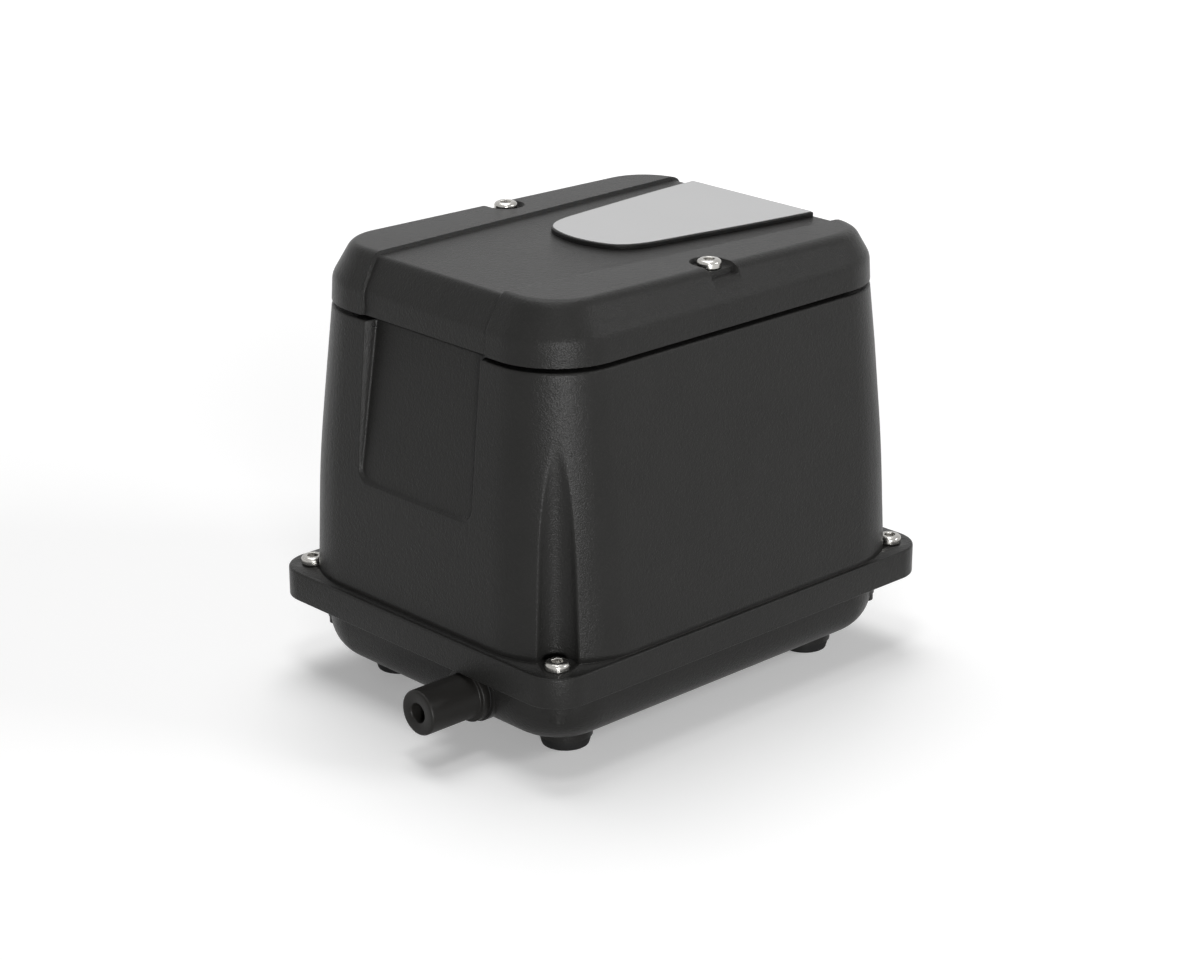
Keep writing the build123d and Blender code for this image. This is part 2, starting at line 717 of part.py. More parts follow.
def outlet_pieces():
    """Outlet nozzle with its collar and the spigot that screws into the tank, and its seal ring."""
    shoulder_x = collar_x + collar_thickness
    spigot_end_x = nozzle_seat_x + spigot_length
    with BuildPart() as nozzle:
        with BuildSketch(nozzle_face(collar_x)):
            Circle(nozzle_radius)
        extrude(amount=collar_x - nozzle_end_x)
        fillet(nozzle.edges().filter_by(GeomType.CIRCLE).sort_by(Axis.X)[0], radius=nozzle_round)
        with BuildSketch(nozzle_face(shoulder_x)):
            Circle(collar_radius)
        extrude(amount=collar_thickness)
        with BuildSketch(nozzle_face(spigot_end_x)):
            Circle(spigot_radius)
        extrude(amount=spigot_end_x - shoulder_x)
        with BuildSketch(nozzle_face(spigot_end_x)):
            Circle(nozzle_bore)
        extrude(amount=spigot_end_x - nozzle_end_x, mode=Mode.SUBTRACT)
    save(nozzle.part, "outlet_nozzle")
    with BuildPart() as seal:
        with BuildSketch(nozzle_face(nozzle_seat_x)):
            Circle(collar_radius - fit_clearance)
            Circle(spigot_radius + fit_clearance, mode=Mode.SUBTRACT)
        extrude(amount=nozzle_seal_thickness)
    save(seal.part, "nozzle_seal")


def cable_gland():
    """Cable gland of the upper casing: body, dome nut, rubber bush and inner locknut."""
    hex_end_x = gland_seat_x + gland_hex_length
    bush_end_x = gland_end_x - gland_nut_end
    bush_x = bush_end_x - gland_bush_length
    with BuildPart() as body:
        with BuildSketch(gland_face(gland_back_x - gland_thread_inside)):
            Circle(gland_thread_radius)
        extrude(amount=bush_x - gland_back_x + gland_thread_inside)
        with BuildSketch(gland_face(gland_seat_x)):
            RegularPolygon(gland_hex / 2, 6, major_radius=False)
        extrude(amount=gland_hex_length)
        with BuildSketch(gland_face(bush_x)):
            Circle(gland_bush_radius)
        extrude(amount=-4 * gland_nut_radius, mode=Mode.SUBTRACT)
    save(body.part, "gland_body")
    with BuildPart() as nut:
        with BuildSketch(gland_face(hex_end_x + seat_gap)):
            Circle(gland_nut_radius)
        extrude(amount=gland_end_x - hex_end_x - seat_gap)
        fillet(nut.faces().sort_by(Axis.X)[-1].edges(), radius=gland_nut_end)
        with BuildSketch(gland_face(hex_end_x + seat_gap)):
            Circle(gland_thread_radius + thread_clearance)
        extrude(amount=bush_end_x - hex_end_x - seat_gap, mode=Mode.SUBTRACT)
        with BuildSketch(gland_face(gland_end_x)):
            Circle(gland_cable_radius + gland_mouth_gap)
        extrude(amount=-gland_nut_end, mode=Mode.SUBTRACT)
    save(nut.part, "gland_nut")
    with BuildPart() as bush:
        with BuildSketch(gland_face(bush_x)):
            Circle(gland_thread_radius - fit_clearance)
            Circle(gland_cable_radius, mode=Mode.SUBTRACT)
        extrude(amount=gland_bush_length)
    save(bush.part, "gland_bush")
    with BuildPart() as locknut:
        with BuildSketch(gland_face(gland_back_x - gland_locknut_thickness)):
            RegularPolygon(gland_locknut_flats / 2, 6, major_radius=False)
            Circle(gland_thread_radius + thread_clearance, mode=Mode.SUBTRACT)
        extrude(amount=gland_locknut_thickness)
    save(locknut.part, "gland_locknut")


# ---------------------------------------------------------------- drive
def isolation_mounts():
    """Four rubber mounts between the tank cover and the drive's frame, with their screws."""
    with BuildPart() as mounts:
        with BuildSketch(Plane.XY.offset(flange_under_z)):
            with Locations(*corners(mount_x, mount_y)):
                Circle(mount_radius)
                Circle(m4[0] + fit_clearance, mode=Mode.SUBTRACT)
        extrude(amount=mount_height)
        waists = mounts.edges().filter_by(GeomType.CIRCLE).filter_by(
            lambda edge: edge.radius == mount_radius
        )
        chamfer(waists, length=mount_chamfer)
    save(mounts.part, "isolation_mounts")
    length = frame_plate + mount_height + cover_plate
    save(screw_set(m4, corners(mount_x, mount_y), frame_floor_z, length), "mount_screws")


def drive_frame():
    """Frame of the drive: a floor, two end plates that clamp the diaphragms, and core rails."""
    with BuildPart() as frame:
        with BuildSketch(Plane.XY.offset(frame_bottom_z)):
            RectangleRounded(2 * frame_half_x, 2 * frame_half_y, frame_corner)
            with Locations(*corners(mount_x, mount_y)):
                Circle(m4[0] + fit_clearance, mode=Mode.SUBTRACT)
        extrude(amount=frame_plate)
        for way in (1, -1):
            with BuildSketch(end_plane(way * frame_half_x)):
                with Locations((0, (frame_bottom_z - axis_z + head_half) / 2)):
                    Rectangle(2 * head_half, head_half + axis_z - frame_bottom_z)
                Circle(diaphragm_free_radius, mode=Mode.SUBTRACT)
                with Locations(*corners(head_screw_offset, head_screw_offset)):
                    Circle(m4[0] + thread_clearance, mode=Mode.SUBTRACT)
            extrude(amount=-way * frame_plate)
        with BuildSketch(Plane.XY.offset(frame_floor_z)):
            with Locations((0, rail_y), (0, -rail_y)):
                Rectangle(2 * core_half_x, rail_width)
            with Locations(*corners(core_screw_x, rail_y)):
                Circle(m4[0] + thread_clearance, mode=Mode.SUBTRACT)
        extrude(amount=core_low_z - frame_floor_z)
    save(frame.part, "drive_frame")


def electromagnets():
    """Two E-shaped laminated cores facing the rod, each with a bobbin and a coil."""
    leg_x = core_half_x - outer_leg_width
    inner_y = core_back_y - yoke_thickness
    with BuildPart() as core:
        with BuildSketch(Plane.XY.offset(core_low_z)):
            with Locations((0, rail_y)):
                Rectangle(2 * core_half_x, yoke_thickness)
            with Locations((0, (pole_face_y + inner_y) / 2)):
                Rectangle(centre_leg_width, inner_y - pole_face_y)
            for way in (1, -1):
                with Locations((way * (leg_x + outer_leg_width / 2), (pole_face_y + inner_y) / 2)):
                    Rectangle(outer_leg_width, inner_y - pole_face_y)
            with Locations((core_screw_x, rail_y), (-core_screw_x, rail_y)):
                Circle(m4[0] + thread_clearance, mode=Mode.SUBTRACT)
        extrude(amount=core_stack)
    save_front_back(core.part, "core")

    tube_x = centre_leg_width / 2 + fit_clearance + bobbin_wall
    tube_z = core_stack / 2 + fit_clearance + bobbin_wall
    low_y = pole_face_y + bobbin_flange
    high_y = inner_y - fit_clearance
    cross = Plane(origin=(0, low_y, axis_z), x_dir=(1, 0, 0), z_dir=(0, 1, 0))
    coil_x, coil_z = tube_x + coil_thickness_x, tube_z + coil_thickness_z
    with BuildPart() as bobbin:
        with BuildSketch(cross):
            RectangleRounded(2 * tube_x, 2 * tube_z, bobbin_corner)
        extrude(amount=high_y - low_y)
        for start in (low_y, high_y - bobbin_wall):
            with BuildSketch(Plane(origin=(0, start, axis_z), x_dir=(1, 0, 0), z_dir=(0, 1, 0))):
                RectangleRounded(2 * coil_x + bobbin_flange, 2 * coil_z + bobbin_flange, coil_corner)
            extrude(amount=bobbin_wall)
        with BuildSketch(cross):
            Rectangle(2 * (tube_x - bobbin_wall), 2 * (tube_z - bobbin_wall))
        extrude(amount=high_y - low_y, mode=Mode.SUBTRACT)
    save_front_back(bobbin.part, "bobbin")
    with BuildPart() as coil:
        start = low_y + bobbin_wall + fit_clearance
        with BuildSketch(Plane(origin=(0, start, axis_z), x_dir=(1, 0, 0), z_dir=(0, 1, 0))):
            RectangleRounded(2 * coil_x, 2 * coil_z, coil_corner)
            hole = (2 * (tube_x + fit_clearance), 2 * (tube_z + fit_clearance))
            RectangleRounded(hole[0], hole[1], bobbin_corner, mode=Mode.SUBTRACT)
        extrude(amount=high_y - bobbin_wall - fit_clearance - start)
    save_front_back(coil.part, "coil")

    length = core_stack + (core_low_z - frame_floor_z) / 2
    save(screw_set(m4, corners(core_screw_x, rail_y), core_high_z, length), "core_screws")


def armature():
    """Drive rod with its armature block and magnets, the hub plates and the rod's end nuts."""
    plate_in_x = hub_x - hub_plate_thickness
    plate_out_x = hub_x + diaphragm_thickness
    nut_x = plate_out_x + hub_plate_thickness
    rod_end_x = nut_x + rod_nut_height
    window = magnet_length + thread_clearance
    window_z = 2 * (armature_half_z - magnet_border)
    with BuildPart() as rod:
        with BuildSketch(end_plane(-rod_end_x)):
            Circle(rod_radius)
        extrude(amount=2 * rod_end_x)
        with BuildSketch(end_plane(-plate_in_x)):
            Circle(rod_shoulder_radius)
        extrude(amount=2 * plate_in_x)
        with BuildSketch(end_plane(-armature_half_x)):
            RectangleRounded(2 * armature_half_y, 2 * armature_half_z, armature_corner)
        extrude(amount=2 * armature_half_x)
        side = Plane(origin=(0, 0, axis_z), x_dir=(1, 0, 0), z_dir=(0, -1, 0))
        with BuildSketch(side):
            with Locations((magnet_centre_x, 0), (-magnet_centre_x, 0)):
                Rectangle(window, window_z + thread_clearance)
        extrude(amount=magnet_half_y, both=True, mode=Mode.SUBTRACT)
    save(rod.part, "armature_rod")
    with BuildPart() as magnets:
        with BuildSketch(side):
            with Locations((magnet_centre_x, 0), (-magnet_centre_x, 0)):
                Rectangle(magnet_length, window_z)
        extrude(amount=magnet_half_y, both=True)
    save(magnets.part, "armature_magnets")
    with BuildPart() as plates:
        for way in (1, -1):
            for x in (plate_in_x, plate_out_x):
                with BuildSketch(end_plane(way * x)):
                    Circle(hub_radius)
                    Circle(rod_radius + thread_clearance, mode=Mode.SUBTRACT)
                extrude(amount=way * hub_plate_thickness)
    save(plates.part, "hub_plates")
    with BuildPart() as nuts:
        for way in (1, -1):
            with BuildSketch(end_plane(way * nut_x)):
                RegularPolygon(rod_nut_hex / 2, 6, major_radius=False)
                Circle(rod_radius + thread_clearance, mode=Mode.SUBTRACT)
            extrude(amount=way * rod_nut_height)
    save(nuts.part, "rod_nuts")


def diaphragms():
    """Dished rubber diaphragm: a flat rim, a cone and a flat centre round the rod."""
    centre_hole = rod_radius + seat_gap
    rim_mid_x = rim_x + (diaphragm_rim_thickness - diaphragm_thickness) / 2
    with BuildPart() as diaphragm:
        with BuildSketch(Plane.XZ.shift_origin((0, 0, axis_z))):
            with BuildLine():
                Polyline(
                    (rim_x, diaphragm_rim_radius),
                    (rim_x, diaphragm_free_radius),
                    (rim_mid_x, diaphragm_free_radius),
                    (hub_x, hub_radius),
                    (hub_x, centre_hole),
                    (hub_x + diaphragm_thickness, centre_hole),
                    (hub_x + diaphragm_thickness, hub_radius),
                    (rim_mid_x + diaphragm_thickness, diaphragm_free_radius),
                    (chamber_x, diaphragm_free_radius),
                    (chamber_x, diaphragm_rim_radius),
                    close=True,
                )
            make_face()
        revolve(axis=Axis((0, 0, axis_z), (1, 0, 0)))
    save_ends(diaphragm.part, "diaphragm")


def pump_heads():
    """Pump head with its chamber and valve plate, its flap valves and their retainers."""
    screws = corners(head_screw_offset, head_screw_offset)
    with BuildPart() as head:
        with BuildSketch(end_plane(rim_x)):
            RectangleRounded(2 * head_half, 2 * head_half, head_corner)
            with Locations(*screws):
                Circle(m4[0] + fit_clearance, mode=Mode.SUBTRACT)
        extrude(amount=cover_x - rim_x)
        with BuildSketch(end_plane(rim_x)):
            Circle(diaphragm_rim_radius + fit_clearance)
        extrude(amount=diaphragm_rim_thickness, mode=Mode.SUBTRACT)
        with BuildSketch(end_plane(chamber_x)):
            Circle(diaphragm_free_radius)
        extrude(amount=chamber_depth, mode=Mode.SUBTRACT)
        with BuildSketch(end_plane(valve_x)):
            with Locations((0, valve_offset_z), (0, -valve_offset_z)):
                Circle(valve_port_radius)
        extrude(amount=valve_plate, mode=Mode.SUBTRACT)
    save_ends(head.part, "pump_head")
    # The inlet flap hangs inside the chamber; the outlet flap stands outside it
    for name, x, way, up in (("inlet_flap", valve_x, -1, 1), ("outlet_flap", cover_x, 1, -1)):
        with BuildPart() as flap:
            with BuildSketch(end_plane(x)):
                with Locations((0, up * (flap_hinge_offset - flap_length / 2))):
                    RectangleRounded(flap_width, flap_length, flap_corner)
            extrude(amount=way * flap_thickness)
        save_ends(flap.part, name)
    with BuildPart() as retainers:
        for end in (1, -1):
            for x, way, up in ((valve_x, -1, 1), (cover_x, 1, -1)):
                with BuildSketch(end_plane(end * x)):
                    with Locations((0, up * (flap_hinge_offset + seat_gap + retainer_height / 2))):
                        Rectangle(flap_width, retainer_height)
                extrude(amount=end * way * retainer_thickness)
    save(retainers.part, "flap_retainers")


def head_covers():
    """Cover of each pump head: an inlet box above, an outlet box with a spigot below."""
    screws = corners(head_screw_offset, head_screw_offset)
    inner = head_half - head_cover_wall
    with BuildPart() as cover:
        with BuildSketch(end_plane(cover_x)):
            RectangleRounded(2 * head_half, 2 * head_half, head_corner)
        extrude(amount=head_cover_depth)
        with BuildSketch(end_plane(cover_x)):
            RectangleRounded(2 * inner, 2 * inner, head_corner - head_cover_wall)
            Rectangle(2 * inner, head_cover_wall, mode=Mode.SUBTRACT)
            with Locations(*screws):
                Circle(m4[0] + head_cover_wall, mode=Mode.SUBTRACT)
        extrude(amount=head_cover_depth - head_cover_wall, mode=Mode.SUBTRACT)
        with BuildSketch(Plane.XY.offset(head_floor_z)):
            with Locations((port_x, 0)):
                Circle(head_spigot_radius)
        extrude(amount=-head_spigot_length)
        with BuildSketch(Plane.XY.offset(head_floor_z - head_spigot_length)):
            with Locations((port_x, 0)):
                Circle(head_port_radius)
        extrude(amount=head_spigot_length + 2 * head_cover_wall, mode=Mode.SUBTRACT)
        with BuildSketch(Plane.XY.offset(axis_z + head_half)):
            with Locations((port_x, 0)):
                with GridLocations(0, 2 * inlet_slot_length, 1, inlet_slot_count):
                    RectangleRounded(inlet_slot_width, inlet_slot_length, inlet_slot_corner)
        extrude(amount=-2 * head_cover_wall, mode=Mode.SUBTRACT)
        with BuildSketch(end_plane(cover_x)):
            with Locations(*screws):
                Circle(m4[0] + fit_clearance)
        extrude(amount=head_cover_depth, mode=Mode.SUBTRACT)
    save_ends(cover.part, "head_cover")


def head_screws():
    """Four long screws at each end, through the cover and head into the frame's end plate."""
    shank, head, height = m4
    length = head_end_x - frame_half_x + frame_plate
    with BuildPart() as screws:
        for way in (1, -1):
            for radius, amount in ((shank, -length), (head, height)):
                with BuildSketch(end_plane(way * head_end_x)):
                    with Locations(*corners(head_screw_offset, head_screw_offset)):
                        Circle(radius)
                extrude(amount=way * amount)
            with BuildSketch(end_plane(way * (head_end_x + height))):
                with Locations(*corners(head_screw_offset, head_screw_offset)):
                    RegularPolygon(head * socket_share, 6)
            extrude(amount=-way * height * socket_depth_share, mode=Mode.SUBTRACT)
    save(screws.part, "head_screws")


def air_boots():
    """Rubber boots that carry the air from the head covers down into the tank."""
    bore = head_spigot_radius + thread_clearance
    outer = bore + boot_wall
    low, high = flange_under_z + seat_gap, head_floor_z - seat_gap
    middle = (low + high) / 2
    with BuildPart() as boot:
        with BuildSketch(Plane.XZ):
            with BuildLine():
                Line((port_x + bore, low), (port_x + outer, low))
                Line((port_x + outer, low), (port_x + outer, middle - boot_bead_half))
                ThreePointArc(
                    (port_x + outer, middle - boot_bead_half),
                    (port_x + outer + boot_bead, middle),
                    (port_x + outer, middle + boot_bead_half),
                )
                Polyline(
                    (port_x + outer, middle + boot_bead_half),
                    (port_x + outer, high),
                    (port_x + bore, high),
                    (port_x + bore, low),
                )
            make_face()
        revolve(axis=Axis((port_x, 0, 0), (0, 0, 1)))
    save_ends(boot.part, "air_boot")


def terminal_block():
    """Terminal block for the supply leads, with its clamp screws."""
    pitch = (terminal_length - 4 * m4[1]) / terminal_count
    top_z = flange_under_z + terminal_height
    ends = terminal_length - 2 * m4[1]
    with BuildPart() as block:
        with BuildSketch(Plane.XY.offset(flange_under_z)):
            with Locations((terminal_x, terminal_y)):
                RectangleRounded(terminal_length, terminal_width, terminal_corner)
                with GridLocations(ends, 0, 2, 1):
                    Circle(m3[0] + fit_clearance, mode=Mode.SUBTRACT)
        extrude(amount=terminal_height)
        with BuildSketch(Plane.XY.offset(top_z)):
            with Locations((terminal_x, terminal_y)):
                with GridLocations(pitch, 0, terminal_count, 1):
                    Circle(m3[0] + thread_clearance)
        extrude(amount=-terminal_height / 2, mode=Mode.SUBTRACT)
    save(block.part, "terminal_block")
    first_x = terminal_x - pitch * (terminal_count - 1) / 2
    clamps = [(first_x + i * pitch, terminal_y) for i in range(terminal_count)]
    fixings = [(terminal_x - ends / 2, terminal_y), (terminal_x + ends / 2, terminal_y)]
    save(screw_set(m3, clamps, top_z, terminal_height / 3), "terminal_screws")
    save(screw_set(m3, fixings, top_z, terminal_height + cover_plate), "terminal_fixings")


upper_casing()
filter_cover()
label_plate()
filter_element()
lower_casing()
fastening_screws()
tank_gasket()
tank_cover()
rubber_feet()
outlet_pieces()
cable_gland()
isolation_mounts()
drive_frame()
electromagnets()
armature()
diaphragms()
pump_heads()
head_covers()
head_screws()
air_boots()
terminal_block()
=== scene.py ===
"""Linear diaphragm air pump: the visible pieces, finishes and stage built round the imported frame."""

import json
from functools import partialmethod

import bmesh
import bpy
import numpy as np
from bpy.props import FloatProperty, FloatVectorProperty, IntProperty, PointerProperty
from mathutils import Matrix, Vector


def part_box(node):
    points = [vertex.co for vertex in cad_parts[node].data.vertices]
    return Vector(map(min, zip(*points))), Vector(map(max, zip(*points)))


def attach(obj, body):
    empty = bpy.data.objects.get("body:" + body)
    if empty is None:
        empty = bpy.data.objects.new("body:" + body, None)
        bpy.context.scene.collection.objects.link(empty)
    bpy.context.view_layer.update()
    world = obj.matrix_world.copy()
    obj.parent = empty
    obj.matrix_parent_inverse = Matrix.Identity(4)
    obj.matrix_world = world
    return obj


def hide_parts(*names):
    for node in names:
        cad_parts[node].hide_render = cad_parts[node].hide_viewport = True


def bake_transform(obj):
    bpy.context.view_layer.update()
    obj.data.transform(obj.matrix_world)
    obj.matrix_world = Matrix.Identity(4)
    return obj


bl_info = {
    "name": "Air Pump",
    "version": (1, 0, 0),
    "blender": (4, 5, 0),
    "location": "3D View > Sidebar > Air Pump",
    "description": "Builds the casing, fittings, finishes and stage of a linear diaphragm air pump",
    "category": "Object",
}

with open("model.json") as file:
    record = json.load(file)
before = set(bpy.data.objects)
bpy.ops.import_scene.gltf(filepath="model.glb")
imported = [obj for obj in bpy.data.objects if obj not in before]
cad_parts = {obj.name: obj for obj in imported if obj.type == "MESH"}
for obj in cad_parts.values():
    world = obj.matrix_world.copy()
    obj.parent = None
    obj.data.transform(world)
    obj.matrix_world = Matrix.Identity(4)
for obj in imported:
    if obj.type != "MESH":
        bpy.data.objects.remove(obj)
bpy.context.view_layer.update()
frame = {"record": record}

MM = 0.001
FLOOR_HALF = 6.0
CASING, LID, ARMATURE = "casing", "filter_lid", "armature"
NODE_SLOTS = {part["node"]: part["material_slot"] for part in frame["record"]["subparts"]}


# ------------------------------------------------------------------ settings
def length(name, description, millimetres):
    """A size property in metres, with its default given in millimetres."""
    return FloatProperty(
        name=name, description=description, default=millimetres * MM, unit="LENGTH", precision=5
    )


def outline_size(name, description, *millimetres):
    """Half length, half width and corner radius of a rounded rectangle, given in millimetres."""
    return FloatVectorProperty(
        name=name, description=description, default=[size * MM for size in millimetres], size=3, unit="LENGTH"
    )


def power(name, description, watts):
    """The power of a lamp, in watts."""
    return FloatProperty(name=name, description=description, default=watts, min=0, unit="POWER")


def angle(name, description, degrees):
    """An angle property, with its default given in degrees."""
    return FloatProperty(
        name=name, description=description, default=float(np.radians(degrees)), subtype="ANGLE"
    )


def tint(name, description, colour):
    """A colour property."""
    return FloatVectorProperty(
        name=name, description=description, default=colour, size=3, min=0, max=1, subtype="COLOR"
    )


class CasingSettings(bpy.types.PropertyGroup):
    """Sizes of the upper casing."""

    foot: outline_size("Foot", "Outline of the body where it meets the flange", 101.8, 82.9, 38.0)
    knee: outline_size("Knee", "Outline of the body at its knee", 100.2, 79.0, 34.1)
    top: outline_size("Top", "Outline of the body at the deck", 94.3, 72.1, 28.8)
    knee_z: length("Knee height", "Height at which the walls start to lean in more", 93.4)
    knee_blend: length("Knee blend", "Half height of the soft bend at the knee", 15.0)
    wall: length("Wall", "Wall thickness of the casing", 2.8)
    edge: length("Edge", "Rounding of the casing's outer edges", 0.9)
    flange_corner: length("Flange corner", "Corner radius of the flange", 14.7)
    flange_height: length("Flange height", "Height of the flange's rim", 12.2)
    flange_plate: length("Flange plate", "Thickness of the flange at its screws", 3.2)
    rim_wall: length("Rim wall", "Wall of the flange's rim over the tank's lip", 3.0)
    groove: length("Groove", "Depth and height of the shadow groove over the flange", 0.8)
    flute_radius: length("Flute radius", "Radius of the corner flutes round the screws", 8.4)
    flute_edge: length("Flute edge", "Rounding of the flutes' long edges", 0.45)
    intake_half_y: length("Intake half width", "Half width of the air intake recess", 33.0)
    intake_low_z: length("Intake foot", "Height of the lower end of the intake recess", 93.6)
    intake_depth_top: length("Intake depth", "Depth of the recess under the cover", 6.1)
    intake_depth_low: length("Intake foot depth", "Depth of the recess at its lower end", 1.4)
    intake_corner: length("Intake corner", "Radius of the recess's lower corners", 6.0)
    deck: length("Deck", "Thickness of the deck under the filter", 3.0)
    hole_half_x: length("Air hole half length", "Half length of the air hole in the deck", 43.8)
    hole_half_y: length("Air hole half width", "Half width of the air hole in the deck", 18.0)
    neck: outline_size("Neck", "Outline of the neck round the filter", 83.5, 66.0, 20.0)
    neck_height: length("Neck height", "Height of the neck over the deck", 6.0)
    neck_wall: length("Neck wall", "Wall thickness of the neck", 2.2)
    grille_bars: IntProperty(name="Grille bars", description="Bars across the air hole", default=5)
    grille_bar: length("Grille bar", "Width of each grille bar", 2.4)


class CoverSettings(bpy.types.PropertyGroup):
    """Sizes of the filter cover and its label."""

    skirt_height: length("Skirt height", "Height of the cover's upright skirt", 9.7)
    skirt_draft: angle("Skirt draft", "Lean of the skirt", 3.0)
    shoulder_taper: angle("Shoulder taper", "Lean of the shoulder over the skirt", 30.0)
    shoulder_round: length("Shoulder round", "Radius between skirt and shoulder", 8.0)
    crest_round: length("Crest round", "Radius between shoulder and top", 6.0)
    top_z: length("Top height", "Height of the cover's top at its middle", 180.6)
    top_fall: angle("Top fall", "Slope of the top towards the gland's end", 0.9)
    wall: length("Wall", "Wall thickness of the cover", 2.6)
    band_depth: length("Band depth", "Depth of the recessed band over the cover", 1.4)
    band_front: length("Band half width, front", "Half width of the band at the outlet's end", 35.4)
    band_back: length("Band half width, back", "Half width of the band at the gland's end", 47.0)
    band_edge: length("Band edge", "Width over which the band's edge steps down", 0.6)
    screw_y: length("Screw offset", "Distance of the cover screws from the middle", 57.7)
    pocket_radius: length("Pocket radius", "Radius of the screw pockets", 7.5)
    pocket_depth: length("Pocket depth", "Depth of the pocket at the screw", 2.0)
    pocket_fall: length("Pocket fall", "Further depth of the pocket's open end", 2.2)
    pocket_step: length("Pocket step", "Distance from the screw to the lower end of the pocket", 5.55)
    pocket_edge: length("Pocket edge", "Width over which the pocket's edge steps down", 0.7)
    label_front_x: length("Label front", "Place of the label's front corners", -8.0)
    label_back_x: length("Label back", "Place of the label's back edge", 84.0)
    label_front: length("Label half width, front", "Half width of the label at its front", 23.7)
    label_back: length("Label half width, back", "Half width of the label at its back", 35.4)
    label_bow: length("Label bow", "How far the label's front edge bows out", 8.5)
    label_corner: length("Label corner", "Radius of the label's front corners", 8.0)
    platform_rise: length("Platform rise", "Height of the label platform over the band", 2.0)
    platform_edge: length("Platform edge", "Rounding of the platform's edge", 0.5)
    label_thickness: length("Label thickness", "Thickness of the metal label", 0.3)
    label_border: length("Label border", "Edge of the platform left bare round the label", 0.7)


class FittingSettings(bpy.types.PropertyGroup):
    """Sizes of the screws, feet, outlet and mounts."""

    head_radius: length("Screw head radius", "Radius of the pan heads", 4.75)
    head_height: length("Screw head height", "Height of the pan heads", 3.4)
    shank_radius: length("Screw radius", "Radius of the screws' threads", 2.5)
    socket_radius: length("Socket radius", "Corner radius of the hexagon socket", 2.38)
    socket_depth: length("Socket depth", "Depth of the hexagon socket", 2.0)
    foot_height: length("Foot height", "Height of the rubber feet", 4.0)
    foot_taper: length("Foot taper", "How much narrower the feet are on the floor", 0.8)
    foot_stem: length("Foot stem radius", "Radius of the feet's stems", 4.0)
    foot_x: length("Foot place", "Distance of the feet's middles from the part's middle along X", 67.7)
    nozzle_radius: length("Nozzle radius", "Radius of the outlet nozzle", 9.0)
    nozzle_bore: length("Nozzle bore", "Radius of the nozzle's bore", 3.85)
    nozzle_round: length("Nozzle round", "Rounding of the nozzle's open end", 1.0)
    collar: length("Collar thickness", "Thickness of the nozzle's collar", 3.4)
    seal: length("Seal thickness", "Thickness of the ring behind the collar", 0.8)
    spigot_radius: length("Spigot radius", "Radius of the spigot in the tank", 7.0)
    mount_radius: length("Mount radius", "Radius of the drive's rubber mounts", 6.5)
    mount_bore: length("Mount bore", "Radius of the mounts' bores", 2.1)


class FinishSettings(bpy.types.PropertyGroup):
    """Colours of the finishes that show most."""

    coat: tint("Casing coat", "Charcoal coat of the casings", (0.0138, 0.0136, 0.0130))
    label: tint("Label", "Satin metal of the label", (0.44, 0.44, 0.442))
    steel: tint("Stainless", "Stainless screws", (0.40, 0.39, 0.37))
    nozzle: tint("Nozzle", "Moulded outlet nozzle", (0.009, 0.0085, 0.0078))
    rubber: tint("Rubber", "Black rubber of feet and seals", (0.006, 0.006, 0.006))
    foam: tint("Foam", "Open-cell filter foam", (0.045, 0.045, 0.05))
    copper: tint("Winding", "Enamelled copper wire", (0.42, 0.14, 0.05))


class StageSettings(bpy.types.PropertyGroup):
    """Camera, lamps and backdrop."""

    azimuth: angle("Azimuth", "Bearing of the camera from the -Y side", -43.55)
    elevation: angle("Elevation", "Height of the camera over the horizon", 20.37)
    aim_x: length("Aim X", "Point that the camera looks at", -1.1)
    aim_y: length("Aim Y", "Point that the camera looks at", 1.1)
    aim_z: length("Aim Z", "Point that the camera looks at", 77.0)
    distance: length("Distance", "Distance from the aim to the camera", 1184.9)
    lens: FloatProperty(name="Lens", description="Focal length in millimetres", default=87.96)
    top_power: power("Top lamp", "Power of the top lamp", 15.0)
    crest_power: power("Crest lamp", "Power of the near overhead lamp", 2.5)
    side_power: power("Side lamp", "Power of the side lamp", 10.0)
    front_power: power("Front lamp", "Power of the front lamp", 23.0)
    ambient: FloatProperty(name="Ambient", description="Light from all round", default=0.12)
    floor_lift: FloatProperty(name="Floor lift", description="Paleness of the floor to the eye", default=0.24)


SETTINGS = {
    "air_pump_casing": CasingSettings,
    "air_pump_cover": CoverSettings,
    "air_pump_fittings": FittingSettings,
    "air_pump_finishes": FinishSettings,
    "air_pump_stage": StageSettings,
}


# ------------------------------------------------------------------ shader arithmetic
class Value:
    """One socket of a node tree; arithmetic on it adds Math nodes to the tree."""

    def __init__(self, nodes, socket):
        self.nodes = nodes
        self.socket = socket

    def math(self, operation, *others):
        """A Math node on this value and others."""
        inputs = dict(enumerate((self, *others)))
        return self.nodes.node("ShaderNodeMath", {"operation": operation}, inputs)

    __add__ = __radd__ = partialmethod(math, "ADD")
    __mul__ = __rmul__ = partialmethod(math, "MULTIPLY")
    __sub__ = partialmethod(math, "SUBTRACT")
    __truediv__ = partialmethod(math, "DIVIDE")
    __pow__ = partialmethod(math, "POWER")

    def __rsub__(self, other):
        return self * -1 + other

    def step(self, low, high):
        """0 below low, 1 above high, and a smooth rise between them."""
        spans = {"Value": self, "From Min": low, "From Max": high}
        return self.nodes.node("ShaderNodeMapRange", {"interpolation_type": "SMOOTHSTEP"}, spans)


